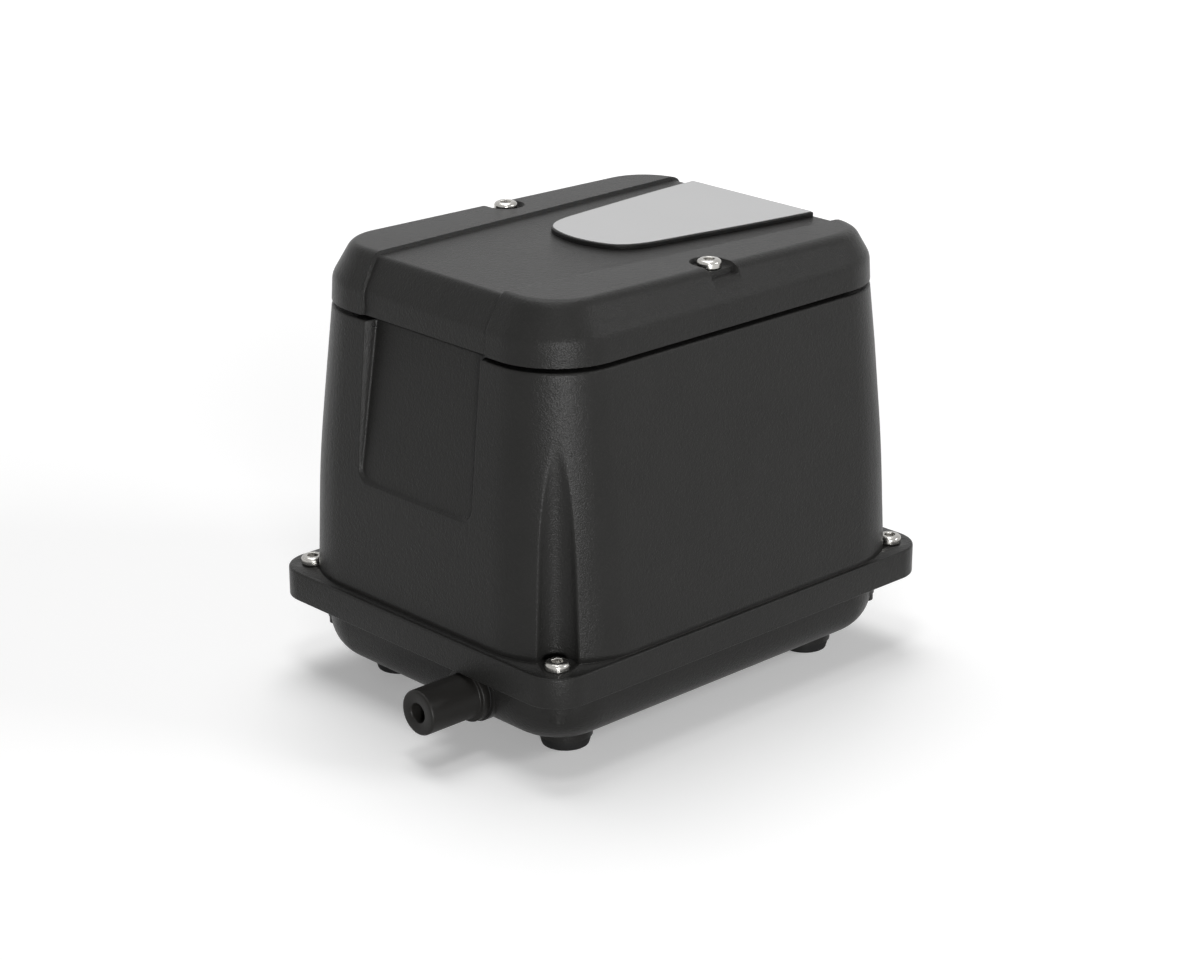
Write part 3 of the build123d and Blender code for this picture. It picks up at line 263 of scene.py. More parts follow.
class Nodes:
    """The node tree of a material or world."""

    def __init__(self, owner):
        owner.use_nodes = True
        self.tree = owner.node_tree

    def node(self, kind, settings, inputs, output=0):
        """One node: its settings first, then the values or links of its sockets."""
        made = self.tree.nodes.new(kind)
        for key, value in settings.items():
            setattr(made, key, value)
        for key, value in inputs.items():
            self.fill(made.inputs[key], value)
        return Value(self, made.outputs[output])

    def fill(self, socket, value):
        """Gives a socket a link or a plain value."""
        if isinstance(value, Value):
            self.tree.links.new(value.socket, socket)
        else:
            socket.default_value = value

    def seen_white(self):
        """1 for camera, glossy and transmission rays, and 0 for all others."""
        kinds = ("Is Camera Ray", "Is Glossy Ray", "Is Transmission Ray")
        camera, glossy, through = (self.node("ShaderNodeLightPath", {}, {}, kind) for kind in kinds)
        return camera.math("MAXIMUM", glossy.math("MAXIMUM", through))


class Finish(Nodes):
    """A node material round one Principled shader, on the object's own coordinates."""

    def __init__(self, name):
        self.material = bpy.data.materials.new(name)
        super().__init__(self.material)
        self.shader = self.tree.nodes["Principled BSDF"]
        self.place = self.node("ShaderNodeTexCoord", {}, {}, "Object")

    def set(self, **inputs):
        """Fills the Principled shader's sockets; an underscore stands for a space."""
        for key, value in inputs.items():
            if isinstance(value, tuple) and len(value) == 3:
                value = (*value, 1.0)
            self.fill(self.shader.inputs[key.replace("_", " ")], value)
        return self

    def noise(self, scale, detail=2.0, roughness=0.5, place=None):
        """Noise from 0 to 1, with its scale in features per metre."""
        inputs = {"Vector": place or self.place, "Scale": scale, "Detail": detail, "Roughness": roughness}
        return self.node("ShaderNodeTexNoise", {}, inputs, "Fac")

    def cells(self, scale, feature="F1"):
        """Distance to the nearest cell point, in cells."""
        settings = {"feature": feature}
        return self.node("ShaderNodeTexVoronoi", settings, {"Vector": self.place, "Scale": scale}, "Distance")

    def stretched(self, x, y, z):
        """The place with each axis scaled, for grain that runs one way."""
        return self.node("ShaderNodeMapping", {}, {"Vector": self.place, "Scale": (x, y, z)})

    def axis(self, index):
        """One coordinate of the place, in metres."""
        return self.node("ShaderNodeSeparateXYZ", {}, {"Vector": self.place}, index)

    def mix(self, low, high, share):
        """A colour between two, by share."""
        ends = [(*c, 1.0) if isinstance(c, tuple) else c for c in (low, high)]
        inputs = {0: share, 6: ends[0], 7: ends[1]}
        return self.node("ShaderNodeMix", {"data_type": "RGBA"}, inputs, 2)

    def bump(self, height, distance):
        """A normal from a height of 0 to 1, which stands for a distance in metres."""
        return self.node("ShaderNodeBump", {}, {"Height": height, "Distance": distance})


def shade(colour, factor):
    """A colour made lighter or darker."""
    return tuple(min(channel * factor, 1.0) for channel in colour)


# ------------------------------------------------------------------ finishes
def casing_coat(finish, base):
    """Matt powder coat: a fine orange-peel grain with faint mottling."""
    mottle = finish.noise(60.0, 3.0, 0.6)
    grain = finish.noise(1700.0, 2.0, 0.6)
    peel = finish.noise(620.0, 2.0, 0.5)
    tone = (0.35 * mottle + 0.65 * grain).step(0.25, 0.75)
    colour = finish.mix(shade(base, 0.88), shade(base, 1.14), tone)
    roughness = 0.27 + 0.10 * grain + 0.05 * mottle
    relief = finish.bump(grain * 0.6 + peel * 0.4, 0.0003)
    finish.set(Base_Color=colour, Roughness=roughness, Normal=relief, Specular_IOR_Level=0.13)


def label_silver(finish, base):
    """Satin label stock with a fine grain brushed along X."""
    grain = finish.noise(1.0, 3.0, 0.6, finish.stretched(60.0, 5200.0, 900.0))
    cloud = finish.noise(24.0, 2.0, 0.5)
    colour = finish.mix(shade(base, 0.95), shade(base, 1.04), 0.6 * grain + 0.4 * cloud)
    relief = finish.bump(grain, 0.00002)
    finish.set(Base_Color=colour, Roughness=0.42 + 0.14 * grain, Metallic=0.35, Normal=relief)


def turned_metal(finish, base, low, high, scale, depth):
    """Bright metal with fine random scratches and slight tarnish."""
    scratch = finish.noise(scale, 4.0, 0.7)
    cloud = finish.noise(scale * 0.1, 2.0, 0.5)
    colour = finish.mix(shade(base, 0.86), shade(base, 1.06), cloud.step(0.3, 0.7))
    roughness = low + (high - low) * scratch
    finish.set(Base_Color=colour, Metallic=1.0, Roughness=roughness, Normal=finish.bump(scratch, depth))


def raw_metal(finish, dark, pale, pattern, scale, low, depth):
    """Unpolished metal between two tones, with a rough grain."""
    grain = finish.noise(scale, 3.0, 0.6)
    colour, relief = finish.mix(dark, pale, pattern), finish.bump(grain, depth)
    finish.set(Base_Color=colour, Metallic=1.0, Roughness=low + 0.2 * grain, Normal=relief)


def plated_plate(finish, base):
    """Zinc-plated sheet with a spangled, slightly blue surface."""
    raw_metal(finish, base, (0.60, 0.60, 0.61), finish.cells(260.0).step(0.1, 0.7), 900.0, 0.3, 0.00002)


def head_alloy(finish, base):
    """Raw die-cast alloy: a soft pebbled skin."""
    flow = finish.noise(45.0, 3.0, 0.5).step(0.3, 0.7)
    raw_metal(finish, base, (0.66, 0.66, 0.66), flow, 1100.0, 0.42, 0.00006)


def rubber(finish, base, low):
    """Moulded rubber with a dusty bloom and a fine skin."""
    bloom = finish.noise(120.0, 3.0, 0.6)
    skin = finish.noise(3000.0, 2.0, 0.5)
    colour = finish.mix(base, shade(base, 1.9), bloom.step(0.45, 0.85))
    relief = finish.bump(skin, 0.00003)
    finish.set(Base_Color=colour, Roughness=low + 0.2 * bloom, Normal=relief, Specular_IOR_Level=0.2)


def moulding(finish, base, grain_scale, depth, low, high):
    """Moulded plastic: an even colour with a fine spark-eroded texture."""
    grain = finish.noise(grain_scale, 2.0, 0.5)
    cloud = finish.noise(50.0, 2.0, 0.5)
    colour = finish.mix(shade(base, 0.92), shade(base, 1.1), cloud)
    roughness, relief = low + (high - low) * grain, finish.bump(grain, depth)
    finish.set(Base_Color=colour, Roughness=roughness, Normal=relief, Specular_IOR_Level=0.16)


def magnet(finish, base):
    """Dark sintered magnet with small pits."""
    pits = finish.cells(900.0)
    colour = finish.mix(base, (0.10, 0.10, 0.105), pits.step(0.2, 0.8))
    finish.set(Base_Color=colour, Roughness=0.6, Metallic=0.2, Normal=finish.bump(pits, 0.00008))


def laminations(finish, base):
    """Varnished stack of steel sheets, half a millimetre each along Z."""
    sheet = (finish.axis(2) * (2.0 * np.pi / (0.5 * MM))).math("SINE")
    lines = sheet.step(-1.0, 0.4)
    varnish = finish.noise(160.0, 3.0, 0.6)
    colour = finish.mix(base, (0.24, 0.23, 0.22), lines * (0.6 + 0.4 * varnish))
    finish.set(Base_Color=colour, Metallic=0.7, Roughness=0.5, Normal=finish.bump(lines, 0.00008))


def winding(finish, base):
    """Enamelled copper wire laid in layers."""
    cloud = finish.noise(220.0, 2.0, 0.5)
    colour = finish.mix(shade(base, 0.75), shade(base, 1.2), cloud)
    finish.set(Base_Color=colour, Metallic=0.6, Roughness=0.3 + 0.15 * cloud, Coat_Weight=0.4)


def foam(finish, base):
    """Open-cell foam: pale struts, with painted shade darkening the pores between them."""
    pores = finish.cells(520.0, "SMOOTH_F1")
    fine = finish.cells(1100.0)
    depth = (0.7 * pores + 0.3 * fine).step(0.15, 0.7)
    # Painted shade: the colour goes dark where the pores sink in, and pale on the struts between them
    colour = finish.mix(shade(base, 0.25), shade(base, 1.5), depth)
    finish.set(Base_Color=colour, Roughness=0.92, Normal=finish.bump(depth, 0.0009), Specular_IOR_Level=0.15)


# Each slot's recipe, its colour (a name is one of the finish settings), and the recipe's numbers
FINISHES = {
    "casing_coat": (casing_coat, "coat"),
    "label_silver": (label_silver, "label"),
    "stainless": (turned_metal, "steel", 0.16, 0.34, 1800.0, 0.000012),
    "brass_screw": (turned_metal, (0.72, 0.52, 0.24), 0.2, 0.4, 1500.0, 0.00001),
    "rubber_black": (rubber, "rubber", 0.62),
    "valve_rubber": (rubber, (0.035, 0.028, 0.024), 0.5),
    "foam": (foam, "foam"),
    "plated_plate": (plated_plate, (0.44, 0.45, 0.48)),
    "head_alloy": (head_alloy, (0.50, 0.50, 0.51)),
    "laminations": (laminations, (0.05, 0.045, 0.04)),
    "winding": (winding, "copper"),
    "magnet": (magnet, (0.045, 0.045, 0.05)),
    "nozzle_black": (moulding, "nozzle", 1500.0, 0.00003, 0.36, 0.5),
    "gland_nylon": (moulding, (0.022, 0.022, 0.023), 2200.0, 0.00004, 0.42, 0.6),
    "bobbin_nylon": (moulding, (0.72, 0.69, 0.60), 1400.0, 0.00003, 0.4, 0.55),
    "terminal_plastic": (moulding, (0.78, 0.74, 0.64), 1400.0, 0.00003, 0.38, 0.5),
}


def material_of(slot):
    """The material of one of the record's slots, made when it is first asked for."""
    made = bpy.data.materials.get(f"finish_{slot}")
    if made is None:
        recipe, base, *numbers = FINISHES[slot]
        if isinstance(base, str):
            base = tuple(getattr(bpy.context.scene.air_pump_finishes, base))
        finish = Finish(f"finish_{slot}")
        recipe(finish, base, *numbers)
        made = finish.material
    return made


# ------------------------------------------------------------------ surfaces
def spans(*parts):
    """Places along a line: each part is (start, end, spacing); sorted, without repeats."""
    runs = [np.linspace(a, b, max(2, int(round(abs(b - a) / step)) + 1)) for a, b, step in parts]
    return np.unique(np.round(np.concatenate(runs), 7))


def smooth_step(x):
    """0 below 0, 1 above 1, and 3x^2 - 2x^3 between."""
    x = np.clip(x, 0.0, 1.0)
    return x * x * (3.0 - 2.0 * x)


def soft_max(a, b, width):
    """The larger of a and b, with the corner between them rounded over a width."""
    near = np.clip(width - np.abs(a - b), 0.0, None) / width
    return np.maximum(a, b) + near * near * width * 0.25


def soft_min(a, b, width):
    """The smaller of a and b, with the corner between them rounded over a width."""
    return -soft_max(-a, -b, width)


def edge_arc(edge, z, steps=5, under=False):
    """A quarter circle of (inset, height) round an edge: up to a top at z, or out from an underside."""
    bend = np.linspace(0, np.pi / 2, steps + 1)[:: -1 if under else 1]
    way = edge if under else -edge
    return [(edge * (1 - np.cos(a)), z + way * (1 - np.sin(a))) for a in bend]


def rounded(points, radii, steps=6):
    """An open path of 2-D points whose inner corners are arcs of the given radii.

    Each corner is replaced by an arc tangent to both runs; its angle is split into even steps.
    """
    points = np.asarray(points, float)
    path = [points[:1]]
    for before, corner, after, radius in zip(points, points[1:], points[2:], radii):
        if radius <= 0:
            path.append(corner[None])
            continue
        a = (before - corner) / np.linalg.norm(before - corner)
        b = (after - corner) / np.linalg.norm(after - corner)
        half = np.arccos(np.clip(a @ b, -1, 1)) / 2
        middle = corner + (a + b) / np.linalg.norm(a + b) * radius / np.sin(half)
        start = corner + a * radius / np.tan(half) - middle
        end = corner + b * radius / np.tan(half) - middle
        turn = np.arctan2(start[0] * end[1] - start[1] * end[0], start @ end)
        angles = turn * np.linspace(0, 1, steps + 1)[:, None]
        side = np.array([-start[1], start[0]])
        path.append(middle + np.cos(angles) * start + np.sin(angles) * side)
    path.append(points[-1:])
    return np.concatenate(path)


class Surface:
    """Collects grids of points into one mesh."""

    def __init__(self):
        self.points, self.faces, self.count = [], [], 0

    def grid(self, points, wrap_u=True, wrap_v=False, close_start=False, close_end=False):
        """Adds a grid (rows, places, 3); wraps join its ends, and closes add a pole to an end row."""
        rows, places = points.shape[:2]
        index = np.arange(rows * places).reshape(rows, places)
        flat = [points.reshape(-1, 3)]
        if wrap_u:
            index = np.concatenate([index, index[:, :1]], axis=1)
        if wrap_v:
            index = np.concatenate([index, index[:1]], axis=0)
        corners = [index[:-1, :-1], index[:-1, 1:], index[1:, 1:], index[1:, :-1]]
        faces = [np.stack(corners, -1).reshape(-1, 4)]
        total = rows * places
        for wanted, row, order in ((close_start, 0, 1), (close_end, -1, -1)):
            if wanted:
                ring = index[row]
                pair = (ring[1:], ring[:-1])[::order]
                pole = np.full(len(ring) - 1, total)
                faces.append(np.stack([pair[0], pair[1], pole, pole], -1))
                flat.append(points[row].mean(0)[None])
                total += 1
        flat, faces = np.concatenate(flat), np.concatenate(faces)
        a, b, c, d = (flat[faces[:, k]] for k in range(4))
        normal = np.cross(c - a, d - b) + np.cross(b - a, c - a) * 1e-9
        if np.sum(normal * ((a + b + c + d) / 4 - flat.mean(0))) < 0:
            faces = faces[:, ::-1]
        self.points.append(flat)
        self.faces.append(faces + self.count)
        self.count += total

    def object(self, name):
        """The finished mesh as a smooth-shaded object at the origin."""
        faces = np.concatenate(self.faces)
        triangle = (faces[:, 2] == faces[:, 3]) | (faces[:, 0] == faces[:, 1])
        lists = [f[:3] if f[2] == f[3] else f[1:] if t else f for f, t in zip(faces.tolist(), triangle)]
        mesh = bpy.data.meshes.new(name)
        mesh.from_pydata(np.concatenate(self.points).tolist(), [], lists)
        mesh.polygons.foreach_set("use_smooth", np.ones(len(mesh.polygons), bool))
        mesh.update()
        made = bpy.data.objects.new(name, mesh)
        bpy.context.scene.collection.objects.link(made)
        return made


def finish_piece(piece, body, slot, *nodes):
    """Gives a piece its material and slot and its body if it has one, and hides the CAD nodes it stands for.
    """
    piece.data.materials.append(material_of(slot))
    if body:
        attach(piece, body)
    if nodes:
        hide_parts(*nodes)
    return piece


def lathe(path, origin, axis, steps=64, ribs=None):
    """A path of (radius, height) turned round an axis through an origin.

    ribs(angle, radius) may change the radius round the turn.
    """
    path = np.asarray(path, float)
    angles = np.linspace(0, 2 * np.pi, steps, endpoint=False)
    radius = np.repeat(path[:, :1], steps, 1)
    height = np.repeat(path[:, 1:], steps, 1)
    if ribs is not None:
        radius = ribs(angles[None], radius)
    local = np.stack([radius * np.cos(angles), radius * np.sin(angles), height], -1)
    turn = np.array(Vector((0, 0, 1)).rotation_difference(Vector(axis)).to_matrix())
    return local @ turn.T + np.asarray(origin, float)


def turned(surface, path, origin, axis, steps=64):
    """Adds a turned piece whose path closes on itself; ends that lie on the axis become poles."""
    path = np.asarray(path, float)
    start, end = path[0, 0] < 1e-9, path[-1, 0] < 1e-9
    body = path[1 if start else 0 : -1 if end else None]
    points = lathe(body, origin, axis, steps)
    surface.grid(points, wrap_v=not (start or end), close_start=start, close_end=end)


class Ring:
    """Places round a rounded rectangle, counted once and reused at every size.

    Each place has its outward direction and its share of the straight core's half sizes.
    """

    def __init__(self, side_x, side_y, far_side_y, arc):
        """side_x and side_y are shares from -1 to 1 along the sides; arc is angles from 0 to 90."""
        turns, shares = [], []
        signs = ((1, 1), (-1, 1), (-1, -1), (1, -1))
        for quadrant, side in enumerate((far_side_y, -side_x, -side_y, side_x)):
            start = quadrant * np.pi / 2
            fixed = np.full(len(side), signs[quadrant][quadrant % 2], float)
            pair = (fixed, side) if quadrant % 2 == 0 else (side, fixed)
            turns += [np.full(len(side), start), start + arc]
            shares += [np.stack(pair, -1), np.tile(np.array(signs[quadrant], float), (len(arc), 1))]
        self.turn = np.concatenate(turns)
        self.share = np.concatenate(shares)
        self.out = np.stack([np.cos(self.turn), np.sin(self.turn)], -1)

    def at(self, half_x, half_y, corner, z, inset=0.0):
        """Points of the rounded rectangle at a height, drawn in along its outward directions."""
        plan = self.share * (half_x - corner, half_y - corner) + self.out * (corner - inset)
        return np.concatenate([plan, np.full((len(self.turn), 1), z)], 1)


def plain_ring(steps=8, side=6):
    """A ring with even sides and arcs."""
    shares = np.linspace(-1, 1, side)
    return Ring(shares[1:-1], shares[1:-1], shares[1:-1], np.linspace(0, np.pi / 2, steps + 1))


def swept(surface, ring, half_x, half_y, corner, section):
    """Carries a closed section of (inset, height) round a rounded rectangle."""
    rows = [ring.at(half_x, half_y, corner, z, inset) for inset, z in section]
    surface.grid(np.array(rows), wrap_v=True)


def slab(surface, ring, half_x, half_y, corner, low, high, edge, x=0.0):
    """A plate at a place along X, with a rounded rectangle outline and rounded edges, closed."""
    face = [(corner * 0.3 + edge, high), (corner * 0.9, high)]
    under = [(corner * 0.9, low), (corner * 0.3 + edge, low)]
    section = under + edge_arc(edge, low, 4, True) + edge_arc(edge, high, 4) + face
    rows = [ring.at(half_x, half_y, corner, z, inset) for inset, z in section]
    surface.grid(np.array(rows) + (x, 0, 0), close_start=True, close_end=True)


def turned_piece(name, path, places, axis, steps, slot, node):
    """A piece of the casing, made of one path turned at one or more places."""
    surface = Surface()
    for place in places:
        turned(surface, path, place, axis, steps)
    finish_piece(surface.object(name), CASING, slot, node)


# ------------------------------------------------------------------ casing
def bisect(field, low, high, shape):
    """The place where a rising-to-falling field crosses zero, found by halving a range 30 times."""
    low, high = np.full(shape, float(low)), np.full(shape, float(high))
    for _ in range(30):
        middle = (low + high) / 2
        outside = field(middle) > 0
        low, high = np.where(outside, middle, low), np.where(outside, high, middle)
    return (low + high) / 2


def ramp(x, half):
    """0 below -half, x above half, and a parabola between them."""
    return np.where(x > half, x, np.clip(x + half, 0, None) ** 2 / (4 * half))


class AIRPUMP_OT_make_casing(bpy.types.Operator):
    """Make the upper casing with its flange, flutes, intake recess, deck and neck"""

    bl_idname = "air_pump.make_casing"
    bl_label = "Make Upper Casing"

    def execute(self, context):
        s = context.scene.air_pump_casing
        low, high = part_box("upper_casing")
        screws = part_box("casing_screws")[1]
        head = context.scene.air_pump_fittings.head_radius
        screw = (screws.x - head, screws.y - head)
        flange_low, flange_top = low.z, low.z + s.flange_height
        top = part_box("filter_element")[0].z
        intake_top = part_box("filter_cover")[0].z
        foot_size, knee_size, top_size = (np.array(size) for size in (s.foot, s.knee, s.top))
        below = (knee_size - foot_size) / (s.knee_z - flange_top)
        above = (top_size - knee_size) / (top - s.knee_z)
        core_y = top_size[1] - top_size[2]

        def section(z):
            """Half sizes and corner of the body: two leaning runs with a soft bend at the knee."""
            z = np.asarray(z, float)[..., None]
            bend = ramp(z - s.knee_z, s.knee_blend)
            sizes = foot_size + below * (z - flange_top) + (above - below) * bend
            return np.moveaxis(sizes, -1, 0)

        sides = spans((-1, 1, 0.12))[1:-1]
        near, by = s.intake_half_y / core_y, 0.05
        close = [(side - by, side + by, 0.007) for side in (-near, near)]
        end = spans((-1, 1, 0.1), *close)[1:-1]
        arc = np.radians(spans((0, 90, 6.0), (19, 71, 0.65)))
        ring = Ring(sides, end, sides, arc)
        on_end = (ring.turn == np.pi) & (np.abs(ring.share[:, 1]) < 1)
        end_y = ring.share[:, 1] * core_y

        def plan(z):
            """Places of the unbroken body at each height, as rows of (x, y)."""
            half_x, half_y, corner = section(z)
            core = np.stack([half_x - corner, half_y - corner], -1)[:, None]
            flat = ring.share * core + ring.out * corner[:, None, None]
            flat[..., 1] = np.where(on_end, end_y, flat[..., 1])
            return flat

        def inset(z, extra=0.0):
            """How far each place goes in, to clear the flutes and the intake recess.

            Along the inward normal, the wall is the smooth maximum of three fields: the body's
            own surface, the inside of the flutes' cylinders, and the inside of the recess.
            """
            z = np.asarray(z, float)[:, None]
            base, out = plan(z[:, 0]), ring.out
            flute_round, recess_round, mouth_round = s.flute_edge * 1.2, 0.8 * MM, 0.7 * MM
            run = (z - s.intake_low_z) / (intake_top - s.intake_low_z)
            floor_low = s.intake_depth_low - section(s.intake_low_z)[0]
            floor_top = s.intake_depth_top - section(top)[0]
            floor = floor_low + (floor_top - floor_low) * run

            def field(depth):
                x = base[..., 0] - out[:, 0] * depth
                y = base[..., 1] - out[:, 1] * depth
                flute = s.flute_radius - np.hypot(np.abs(x) - screw[0], np.abs(y) - screw[1])
                a = np.abs(y) - s.intake_half_y + s.intake_corner
                b = s.intake_low_z + s.intake_corner - z
                apart = np.minimum(np.maximum(a, b), 0)
                apart = apart + np.hypot(np.maximum(a, 0), np.maximum(b, 0)) - s.intake_corner
                recess = soft_min(-apart, floor - x, recess_round)
                wall = soft_max(-depth, flute, flute_round)
                return soft_max(wall, recess, mouth_round)

            outermost, innermost = -2 * MM, 14 * MM
            return bisect(field, outermost, innermost, base.shape[:2]) + extra

        def rows(z, depth):
            """Rows of points at heights, each place drawn in by its depth."""
            z = np.asarray(z, float)
            flat = plan(z) - ring.out * np.asarray(depth)[..., None]
            return np.concatenate([flat, np.broadcast_to(z[:, None, None], (*flat.shape[:2], 1))], -1)

        # Rows are closest round the foot of the recess, and closer up to the upper end of the flutes
        heights = (flange_top + s.groove, s.intake_low_z - 0.8 * MM, s.intake_low_z + s.intake_corner)
        heights += (130 * MM, top - s.edge)
        wall_z = spans(*zip(heights, heights[1:], (2.4 * MM, 0.35 * MM, 1.2 * MM, 2.4 * MM)))
        foot = [flange_top, flange_top + s.groove]
        crown = np.array(edge_arc(s.edge, top)[1:])
        outer = [
            rows(foot, inset(foot, s.groove)),
            rows(wall_z, inset(wall_z)),
            rows(crown[:, 1], inset(crown[:, 1], crown[:, :1])),
        ]
        deck_low = top - s.deck
        hole = [ring.at(s.hole_half_x, s.hole_half_y, 2 * MM, z)[None] for z in (top, deck_low)]
        flange_under = flange_top - s.flange_plate
        inner_z = spans((flange_top, deck_low, 5 * MM))[::-1]
        inner = rows(inner_z, inset(inner_z, s.wall))
        under = inner[-1:].copy()
        under[..., 2] = flange_under

        lip = 0.4 * MM
        rim = [(s.rim_wall, flange_under), (s.rim_wall, flange_low)]
        rim += edge_arc(lip, flange_low, under=True) + edge_arc(s.edge, flange_top)
        flange = [ring.at(high.x, high.y, s.flange_corner, z, drawn)[None] for drawn, z in rim]
        surface = Surface()
        surface.grid(np.concatenate(outer + hole + [inner, under] + flange), wrap_v=True)

        plain = plain_ring()
        neck_top, neck_foot = top + s.neck_height, top - lip
        neck = [(0, neck_foot), (0, neck_top - lip), (lip, neck_top)]
        neck += [(s.neck_wall - lip, neck_top), (s.neck_wall, neck_top - lip), (s.neck_wall, neck_foot)]
        swept(surface, plain, *s.neck, neck)
        pitch = 2 * (s.hole_half_x + s.grille_bar / 2) / (s.grille_bars + 1)
        for place in range(s.grille_bars):
            x = (place - (s.grille_bars - 1) / 2) * pitch
            slab(surface, plain, s.grille_bar / 2, s.hole_half_y + lip, 0.5 * MM, deck_low + lip, top, lip, x)
        post = context.scene.air_pump_fittings.shank_radius + s.wall
        path = [(0, neck_foot), (post, neck_foot), (post, high.z), (0, high.z)]
        for side in (-1, 1):
            turned(surface, path, (0, side * context.scene.air_pump_cover.screw_y, 0), (0, 0, 1))
        gland_low, gland_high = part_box("gland_body")
        middle = (gland_low + gland_high) / 2
        seat = (gland_high.y - gland_low.y) / 2 + 1.5 * MM
        root_x, face_x = 90 * MM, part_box("gland_nut")[0].x - 2.2 * MM
        path = [(0, root_x), (seat, root_x), (seat, face_x - lip), (seat - lip, face_x), (0, face_x)]
        turned(surface, path, (0, middle.y, middle.z), (1, 0, 0))
        casing = surface.object("upper_casing_shell")
        finish_piece(casing, CASING, "casing_coat", "upper_casing")
        return {"FINISHED"}


# ------------------------------------------------------------------ cover and label
class AIRPUMP_OT_make_cover(bpy.types.Operator):
    """Make the filter cover with its band, label platform and screw pockets, and its label"""

    bl_idname = "air_pump.make_cover"
    bl_label = "Make Filter Cover"

    def execute(self, context):
        s, casing = context.scene.air_pump_cover, context.scene.air_pump_casing
        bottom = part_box("filter_cover")[0].z
        half_x, half_y, corner = casing.top
        fall = np.tan(s.top_fall)
        seat_z = s.top_z - s.pocket_depth

        def profile(wall):
            """Path of (inset, height) from the skirt's foot to the top, with rounded bends."""
            skirt_z = bottom + s.skirt_height
            drawn = s.skirt_height * np.tan(s.skirt_draft)
            rise = s.top_z - wall - skirt_z
            shoulder = drawn + rise * np.tan(s.shoulder_taper)
            points = [(0, bottom), (drawn, skirt_z)]
            points += [(x, s.top_z - wall) for x in (shoulder, shoulder + 9 * MM)]
            points = np.array(points) + (wall, 0)
            arc = 11
            path = rounded(points, (s.shoulder_round - wall, s.crest_round - wall), arc)
            low, high = path[arc + 1], path[arc + 2]
            thirds = [(low * 2 + high) / 3, (low + high * 2) / 3]
            start = [path[0], path[0] + (0, 0.25 * MM)]
            return np.concatenate([start, path[1 : arc + 2], thirds, path[arc + 2 : -1]])

        crest = profile(0.0)[-1, 0]
        reach = corner - crest
        core_x, core_y = half_x - corner, half_y - corner
        # Lines are close where the pockets, the band's edges and the crest are
        end_x, pocket_x = core_x + reach, 8.6 * MM
        x_lines = spans(
            (-end_x, end_x, 3 * MM), (-pocket_x, pocket_x, 0.4 * MM),
            (-end_x, -core_x, 1 * MM), (core_x, end_x, 1 * MM),
        )
        end_y, band_y, pocket_y = core_y + reach, 33 * MM, 49.5 * MM
        y_lines = spans((0, band_y, 3 * MM), (band_y, pocket_y, 0.3 * MM), (pocket_y, end_y, 0.45 * MM))
        y_lines = np.concatenate([-y_lines[:0:-1], y_lines])
        grid_x, grid_y = np.meshgrid(x_lines, y_lines)

        def spread(grid_x, grid_y, reach):
            """Square grid to rounded rectangle: in each corner, x and y go through the map that
            takes a unit square to a quarter disc, x * sqrt(1 - y * y / 2) and the reverse."""
            a = np.clip((np.abs(grid_x) - core_x) / reach, 0, 1)
            b = np.clip((np.abs(grid_y) - core_y) / reach, 0, 1)
            x = np.minimum(np.abs(grid_x), core_x) + reach * a * np.sqrt(1 - b * b / 2)
            y = np.minimum(np.abs(grid_y), core_y) + reach * b * np.sqrt(1 - a * a / 2)
            return np.sign(grid_x) * x, np.sign(grid_y) * y

        def band_share(x, y):
            """1 inside the recessed band, which widens to the back, and 0 outside it."""
            run = (x + half_x) / (2 * half_x)
            edge = s.band_front + (s.band_back - s.band_front) * run
            return 1 - smooth_step((np.abs(y) - edge) / s.band_edge + 0.5)

        def pocketed(x, y, z, wall, border):
            """Lowers the surface to the stepped floor inside the two open screw pockets."""
            beyond = np.abs(y) - s.screw_y
            apart = np.hypot(x, np.minimum(beyond, 0)) - s.pocket_radius - border
            share = 1 - smooth_step(apart / s.pocket_edge + 1.0)
            step = smooth_step((beyond - s.pocket_step) / (0.4 * MM) + 0.5)
            floor = seat_z - s.pocket_fall * (1 if wall else step) - wall
            return z + share * (np.minimum(z, floor) - z)

        whole = np.stack([grid_x, grid_y], -1)
        border = np.concatenate([whole[0, :-1], whole[:-1, -1], whole[-1, :0:-1], whole[:0:-1, 0]])
        edge_x, edge_y = spread(border[:, 0], border[:, 1], reach)
        core = np.stack([np.clip(edge_x, -core_x, core_x), np.clip(edge_y, -core_y, core_y)], -1)
        out = np.stack([edge_x, edge_y], -1) - core
        out /= np.linalg.norm(out, axis=1, keepdims=True)

        def sheet(wall, depth, border_width):
            """The lid's top as a grid and its sides as rings, set in by a wall thickness."""
            path = profile(wall)
            run = np.gradient(path, axis=0)
            run /= np.linalg.norm(run, axis=1, keepdims=True)
            low = bottom + s.skirt_height + 2 * MM
            weight = smooth_step((path[:, 1] - low) / (s.top_z - 2.5 * MM - low))
            plain = core + out * (corner - path[:, 0, None, None])
            share = band_share(plain[..., 0], plain[..., 1]) * depth
            slope = -fall * plain[..., 0] * weight[:, None]
            fade = 1 - smooth_step((path[:, :1] - crest + 5 * MM) / (5 * MM))
            inset = path[:, :1] + share * run[:, 1:] + slope * np.tan(s.shoulder_taper) * fade
            height = path[:, 1:] - share * run[:, :1] + slope
            flat = core + out * (corner - inset[..., None])
            height = pocketed(flat[..., 0], flat[..., 1], height, wall, border_width)
            sides = np.concatenate([flat, height[..., None]], -1)
            x, y = spread(grid_x, grid_y, corner - path[-1, 0])
            z = s.top_z - wall - fall * x - depth * band_share(x, y)
            z = pocketed(x, y, z, wall, border_width)
            return sides, np.stack([x, y, z], -1)

